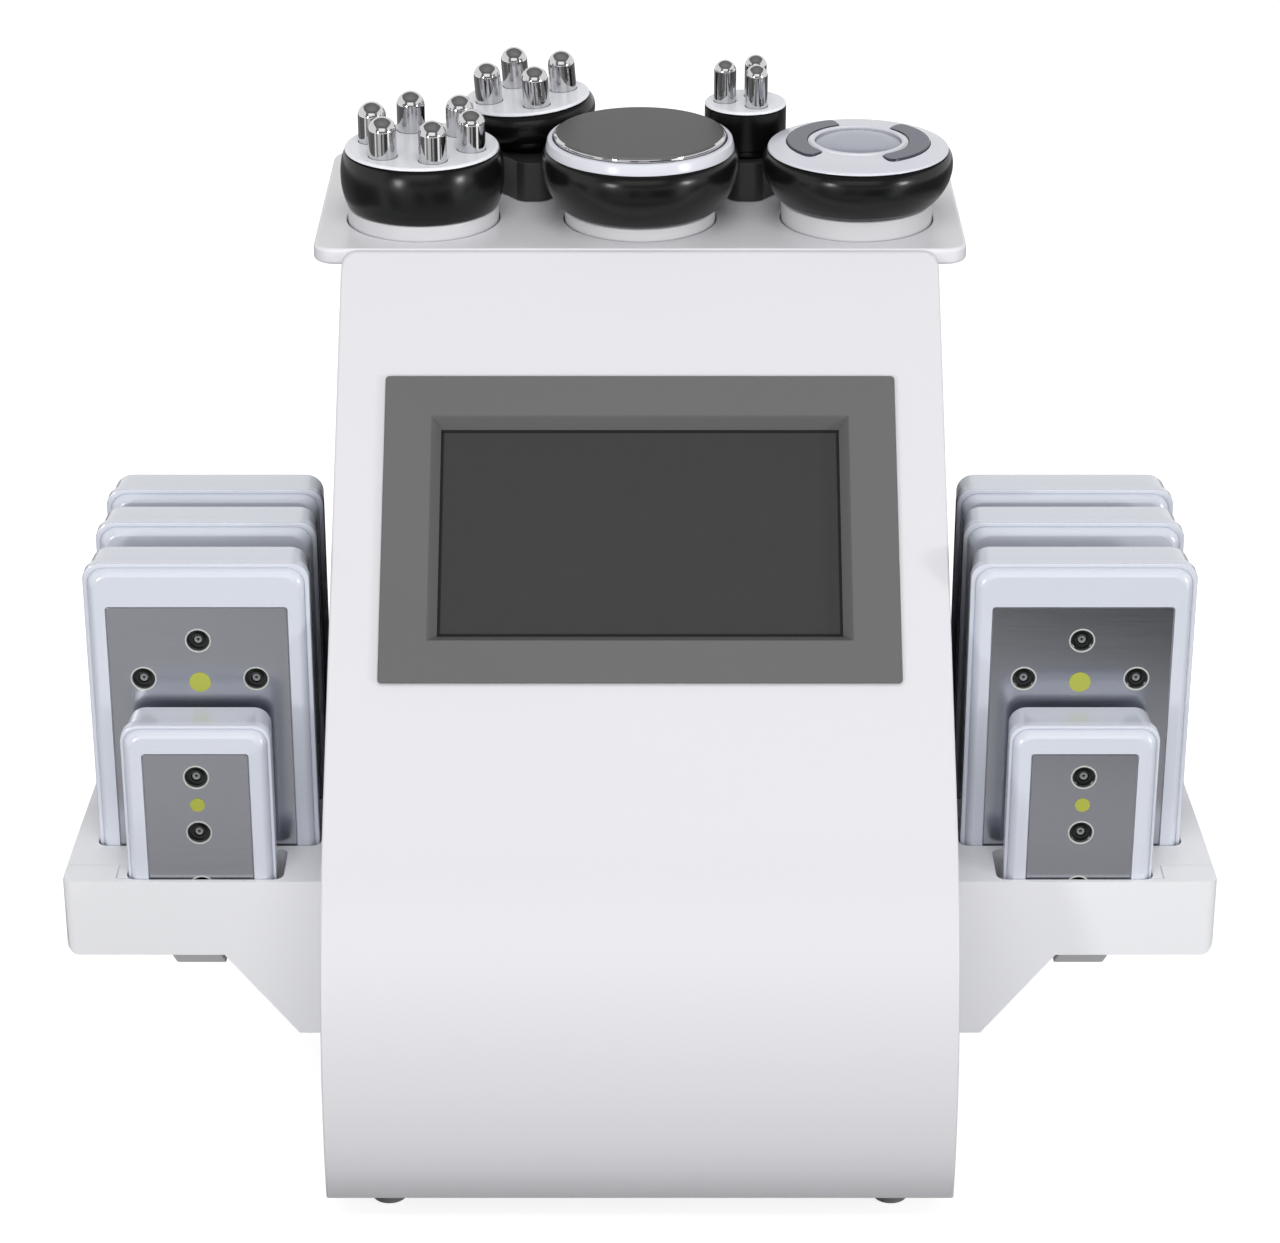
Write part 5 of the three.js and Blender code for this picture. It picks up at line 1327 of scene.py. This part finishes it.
# Rear fittings
FITTING_EDGE = 0.0003
ROCKER_EDGE = 0.0004
SCREW_RADIUS = 0.003
SCREW_RISE = 0.0016
SCREW_INSET = 0.012
SCREW_SLOT = 0.0007
SCREW_SLOT_SHARE = 0.55
FAN_SCREW_REACH = 0.025
BASE_SCREW_INSET = 0.02
NUT_WIDTH = 0.0016
NUT_THICKNESS = 0.0018
NUT_SHARE = 0.7
CONTACT_RADIUS = 0.0006
CONTACT_RISE = 0.0008
CONTACT_STEPS = 12
CONTACTS = 4
SOCKET_FACE_SHARE = 0.72
SOCKET_FACE_SINK = 0.001
BLADE_SIZE = Vector((0.002, 0, 0.0045))
BLADE_LENGTH = Vector((0, 0.011, 0))
BLADE_SPACING = 0.007
BLADE_LIFT = 0.0025
MOUTH_CENTRE = -0.0095
MOUTH_DEPTH = 0.015
MARK_SIZE = 0.0034
MARK_LINE = 0.0006
MARK_RISE = 0.00012
FACING_BACK = Matrix.Rotation(-QUARTER, 4, "X")
FACING_DOWN = Matrix.Rotation(math.pi, 4, "X")

# A screw's pan head, as shares of its radius and rise
PAN_HEAD = ((0, 0), (1, 0), (1, 0.25), (0.9, 0.62), (0.68, 0.9), (0.35, 1), (0, 1))


def screws(name, places, turn):
    """One mesh of all the screws of one wall: pan heads with a cross recess."""
    reach, half = SCREW_RADIUS * SCREW_SLOT_SHARE, SCREW_SLOT / 2
    profile = [(SCREW_RADIUS * out, SCREW_RISE * up) for out, up in PAN_HEAD]
    heads = []
    for place in places:
        head = turned(profile, steps=SMALL_STEPS)
        for x, y in ((reach, half), (half, reach)):
            carved(head, block((-x, -y, SCREW_RISE / 3), (x, y, 2 * SCREW_RISE)))
        heads.append(placed(head, Matrix.Translation(place) @ turn))
    dressed(merged(heads), name, SCREW_STEEL)


def all_screws(wall):
    low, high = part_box("rear_housing")
    sides = (low.x + SCREW_INSET, high.x - SCREW_INSET)
    heights = (low.z + SCREW_INSET, high.z - SCREW_INSET)
    screws("rear_wall_screws", [(x, wall, z) for x in sides for z in heights], FACING_BACK)
    fan_low, fan_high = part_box("fan_frame")
    middle = (fan_low + fan_high) / 2
    reaches = (-FAN_SCREW_REACH, FAN_SCREW_REACH)
    places = [(middle.x + x, wall, middle.z + z) for x in reaches for z in reaches]
    screws("fan_screws", places, FACING_BACK)
    low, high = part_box("base_plate")
    rows = (low.y + BASE_SCREW_INSET, 0, high.y - BASE_SCREW_INSET)
    columns = (low.x + SCREW_INSET / 2, high.x - SCREW_INSET / 2)
    places = [(x, y, low.z - GAP / 10) for x in columns for y in rows]
    screws("base_screws", places, FACING_DOWN)


def socket_trim(sockets, wall):
    """Ring nuts on the wall, and gold contacts in the faces of the sockets."""
    inner, outer = sockets.radius + GAP / 3, sockets.radius + NUT_WIDTH
    nut = [(inner, 0), (outer, 0), (outer, NUT_THICKNESS * NUT_SHARE)]
    nut += [(sockets.radius + NUT_WIDTH * NUT_SHARE, NUT_THICKNESS), (inner, NUT_THICKNESS), (inner, 0)]
    contact = [(0, 0), (CONTACT_RADIUS, 0), (CONTACT_RADIUS, CONTACT_RISE / 2), (0, CONTACT_RISE)]
    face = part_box(sockets.node)[1].y - SOCKET_FACE_SINK
    ring = sockets.radius * SOCKET_FACE_SHARE / 2
    start = QUARTER / 2
    nuts, contacts = [], []
    for x, z in socket_places(sockets):
        seat = Matrix.Translation((x, wall, z)) @ FACING_BACK
        nuts.append(placed(turned(nut, steps=POST_STEPS), seat))
        for x, z in arc_points((x, z), ring, start, start + math.tau, CONTACTS)[:-1]:
            seat = Matrix.Translation((x, face, z)) @ FACING_BACK
            contacts.append(placed(turned(contact, steps=CONTACT_STEPS), seat))
    dressed(merged(nuts), f"{sockets.name}_nuts", CHROME)
    dressed(merged(contacts), f"{sockets.name}_contacts", CONTACT_GOLD)


def inlet_blades():
    low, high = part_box("power_inlet")
    middle = (low + high) / 2
    blades = []
    for side, lift in ((-1, -BLADE_LIFT / 2), (0, BLADE_LIFT), (1, -BLADE_LIFT / 2)):
        x = middle.x + MOUTH_CENTRE + side * BLADE_SPACING
        place = Vector((x, high.y - MOUTH_DEPTH, middle.z + lift))
        blade = block(place - BLADE_SIZE / 2, place + BLADE_SIZE / 2 + BLADE_LENGTH)
        blades.append(softened(blade, BLADE_SIZE.x / 5, 2))
    dressed(merged(blades), "inlet_blades", SCREW_STEEL)


def rocker_marks():
    """The on and off marks, each on its own half of the rocker."""
    rocker = frame["nodes"]["power_switch_rocker"]
    pressed = [face for face in rocker.data.polygons if face.normal.y > 1 / 2]
    middle = sum(face.center.z for face in pressed) / len(pressed)
    half, line = MARK_SIZE / 2, MARK_SIZE / 2 - MARK_LINE
    ring = [(line, 0), (half, 0), (half, MARK_RISE), (line, MARK_RISE), (line, 0)]
    marks = []
    for upper in (False, True):
        faces = [face for face in pressed if (face.center.z > middle) == upper]
        centre = sum((face.center for face in faces), Vector()) / len(faces)
        normal = rocker.matrix_world.to_3x3() @ faces[0].normal
        seat = Matrix.Translation(rocker.matrix_world @ centre)
        seat = seat @ normal.to_track_quat("Z", "Y").to_matrix().to_4x4()
        if upper:
            mark = block((-MARK_LINE / 2, -half, 0), (MARK_LINE / 2, half, MARK_RISE))
        else:
            mark = turned(ring, steps=SMALL_STEPS)
        marks.append(placed(mark, seat))
    dressed(merged(marks), "rocker_marks", MARK_WHITE, body="power_switch")


def fittings():
    for node, name in (
        ("handle_sockets", "head_lead_sockets"),
        ("pad_sockets", "pad_lead_sockets"),
        ("fan_frame", "fan_housing"),
        ("power_inlet", "mains_inlet"),
    ):
        kept_shape(node, name, SOCKET_BLACK, FITTING_EDGE)
    kept_shape("fan_rotor", "fan_wheel", SOCKET_BLACK, FITTING_EDGE, body="fan")
    kept_shape("power_switch_rocker", "rocker", SOCKET_BLACK, ROCKER_EDGE, body="power_switch")
    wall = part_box("rear_housing")[1].y + GAP / 10
    socket_trim(HEAD_SOCKETS, wall)
    socket_trim(PAD_SOCKETS, wall)
    all_screws(wall)
    inlet_blades()
    rocker_marks()


# Camera, solved on the photograph, whose middle it looks through
PHOTO_WIDTH = 1280
PHOTO_FOCAL_LENGTH = 3700
SENSOR_WIDTH = 36
CAMERA_PLACE = (0, -1.36482, 0.809)
CAMERA_TILT = math.radians(65)

# Surroundings. A light has a place, a size, a power and an aim, and mirrors may show it.
BODY_AIM = (0, 0, 0.2)
HEADS_AIM = (0, 0.1, 0.33)
LIGHTS = (
    ("front_light", (0, -2.45, 1.35), (2.6, 1.2), 10, BODY_AIM, True),
    ("soft_light", (0, -2.45, 0.6), (2.6, 0.8), 11.5, BODY_AIM, False),
    ("top_light", (0, -0.75, 2.1), (1.2, 1.2), 12, BODY_AIM, False),
    ("side_light_0", (-1.0, -1.5, 0.38), (0.2, 0.2), 5.5, HEADS_AIM, True),
    ("side_light_1", (1.45, -0.95, 0.4), (0.2, 0.2), 6, HEADS_AIM, True),
)
AMBIENT = 0.46
FLOOR_SIZE = 14
FLOOR_TONE = 0.32
FLOOR_SHOWN_TONE = 0.6
FLOOR_GLOW = 0.8
FLAG_PLACE = -0.27
FLAG_SIZE = (0.8, 0.003, 0.036)
FLAG_LIFT = 0.006
FLAG_GAP = 0.0012
FLAG_SETBACK = 0.012

# Cards that only reflections show. The fan's sectors go from the front towards the right.
CARD_THICKNESS = 0.0004
CARD_GLOSS = (0.8, 0.9)
CARD_FAN_CENTRE = (0, 0.1)
CARD_FAN_INNER = 0.6
CARD_FAN_OUTER = 2.2
CARD_TABLE_TONE = 0.55
CARD_CEILING_HEIGHT = 2.7
CARD_CEILING_SIZE = 6.4
CARD_CEILING_TONE = 0.7
CARD_FRONT_PLACE = -3.3
CARD_FRONT_SIZE = (8, 3)
CARD_FRONT_TONE = 0.6
CARD_SECTORS = (
    (-180, -106, 0.3), (-106, -62, 0.16), (-62, -50, 1.0), (-50, -35, 0.2), (-35, -12, 0.5),
    (-12, -2, 0.03), (-2, 12, 0.35), (12, 41, 0.02), (41, 58, 1.0), (58, 130, 0.14), (130, 180, 0.3),
)


def seen_rays(tree):
    """1 for rays that show the background directly, in a mirror or through glass."""
    path = tree.nodes.new("ShaderNodeLightPath").outputs
    seen = path["Is Camera Ray"]
    for kind in ("Is Glossy Ray", "Is Transmission Ray"):
        either = tree.nodes.new("ShaderNodeMath")
        either.operation = "MAXIMUM"
        seen = wired(tree, either, {0: seen, 1: path[kind]}).outputs["Value"]
    return seen


def shown_apart(tree, output, lighting, shown):
    """Light the object with one shader and show another as the background."""
    mix = added(tree, "ShaderNodeMixShader", {"Fac": seen_rays(tree), 1: lighting, 2: shown})
    tree.links.new(mix, tree.nodes[output].inputs["Surface"])


def surroundings():
    deselect()
    bpy.ops.mesh.primitive_plane_add(size=FLOOR_SIZE)
    floor = bpy.context.object
    floor.name = "floor"
    material = bpy.data.materials.new("floor")
    material.use_nodes = True
    tree = material.node_tree
    tone = (FLOOR_TONE, FLOOR_TONE, FLOOR_TONE, 1)
    matt = {"Base Color": tone, "Roughness": 1, "Specular IOR Level": 0}
    plain = wired(tree, tree.nodes["Principled BSDF"], matt).outputs["BSDF"]
    tone = (FLOOR_SHOWN_TONE, FLOOR_SHOWN_TONE, FLOOR_SHOWN_TONE, 1)
    shaded = added(tree, "ShaderNodeBsdfDiffuse", {"Color": tone})
    glow = added(tree, "ShaderNodeEmission", {"Strength": FLOOR_GLOW})
    both = added(tree, "ShaderNodeAddShader", {0: shaded, 1: glow})
    shown_apart(tree, "Material Output", plain, both)
    floor.data.materials.append(material)

    world = bpy.data.worlds.new("studio")
    bpy.context.scene.world = world
    world.use_nodes = True
    tree = world.node_tree
    white = (1, 1, 1, 1)
    ambient = wired(tree, tree.nodes["Background"], {"Strength": AMBIENT, "Color": white})
    shown = added(tree, "ShaderNodeBackground", {"Color": white})
    shown_apart(tree, "World Output", ambient.outputs["Background"], shown)

    for name, place, (width, height), power, aim, mirror in LIGHTS:
        data = bpy.data.lights.new(name, "AREA")
        data.shape = "RECTANGLE"
        data.size = width
        data.size_y = height
        data.energy = power
        light = bpy.data.objects.new(name, data)
        bpy.context.scene.collection.objects.link(light)
        light.visible_glossy = mirror
        light.location = place
        light.rotation_euler = (Vector(aim) - Vector(place)).to_track_quat("-Z", "Y").to_euler()


def studio_card(card, name, finish, *hidden):
    """Give a card its tone and hide it from the kinds of rays that should miss it."""
    card.name = name
    card.data.materials.append(finish.material)
    for rays in hidden:
        setattr(card, f"visible_{rays}", False)


def flags():
    """Dark cards: one keeps light off the belly's foot, two keep it out of the gaps by the pads."""
    width, thickness, height = FLAG_SIZE
    top, back = FLAG_LIFT + height, FLAG_PLACE + thickness
    card = block((-width / 2, FLAG_PLACE, FLAG_LIFT), (width / 2, back, top))
    studio_card(card, "front_flag", FLAG_BLACK, "camera", "glossy")
    pad_low, pad_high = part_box("large_pad_right_3_case")
    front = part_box("large_pad_right_1_case")[0].y + FLAG_SETBACK
    for side in (-1, 1):
        walls = sorted((side * (pad_low.x - FLAG_GAP), side * (pad_low.x - 2 * FLAG_GAP)))
        card = block((walls[0], front, pad_low.z), (walls[1], pad_high.y, pad_high.z))
        studio_card(card, "side_flag", FLAG_BLACK, "camera")


def reflected_card(card, name, tone):
    """Let reflections alone show a card, as studio cards do just outside a picture."""
    finish = moulded("card", (tone, tone, tone), CARD_GLOSS, None)
    studio_card(card, name, finish, "camera", "diffuse", "shadow")


def reflected_cards():
    outline = arc_points(CARD_FAN_CENTRE, CARD_FAN_INNER, 0, math.tau, ROUND_STEPS)[:-1]
    low, high = 2 * CARD_THICKNESS, 3 * CARD_THICKNESS
    reflected_card(plan_slab(outline, low, high), "card_table", CARD_TABLE_TONE)
    for number, (start, end, tone) in enumerate(CARD_SECTORS):
        span = math.radians(end - start)
        turn = math.radians((start + end) / 2 - 90)
        card = arc_band(CARD_FAN_INNER, CARD_FAN_OUTER, span, turn, low, high)
        placed(card, Matrix.Translation((*CARD_FAN_CENTRE, 0)))
        reflected_card(card, f"card_{number}", tone)
    half, top = CARD_CEILING_SIZE / 2, CARD_CEILING_HEIGHT
    card = block((-half, -half, top), (half, half, top + CARD_THICKNESS))
    reflected_card(card, "card_ceiling", CARD_CEILING_TONE)
    (width, height), front = CARD_FRONT_SIZE, CARD_FRONT_PLACE
    card = block((-width / 2, front, 0), (width / 2, front + CARD_THICKNESS, height))
    reflected_card(card, "card_front", CARD_FRONT_TONE)


def camera():
    data = bpy.data.cameras.new("camera")
    data.sensor_width = SENSOR_WIDTH
    data.lens = PHOTO_FOCAL_LENGTH / PHOTO_WIDTH * SENSOR_WIDTH
    eye = bpy.data.objects.new("camera", data)
    bpy.context.scene.collection.objects.link(eye)
    eye.location = CAMERA_PLACE
    eye.rotation_euler = (CAMERA_TILT, 0, 0)
    bpy.context.scene.camera = eye
    bpy.context.scene.view_settings.view_transform = "Standard"


camera()
surroundings()
flags()
reflected_cards()
front_cover()
rear_cover()
base_and_feet()
tray()
riser()
display()
pole_head(SIX_POLE, SIX_PINS, COLLAR_WHITE_PAINTED_SHADE)
cavitation_head()
photon_head()
pole_head(FOUR_POLE, FOUR_PINS, GRIP_BLACK)
pole_head(THREE_POLE, THREE_PINS, GRIP_BLACK)
pad_family(SMALL_PAD, ["small_pad_left", "small_pad_right"])
pad_family(LARGE_PAD, [f"large_pad_{side}_{place}" for side in ("left", "right") for place in (1, 2, 3)])
holder()
lead_clips()
fittings()
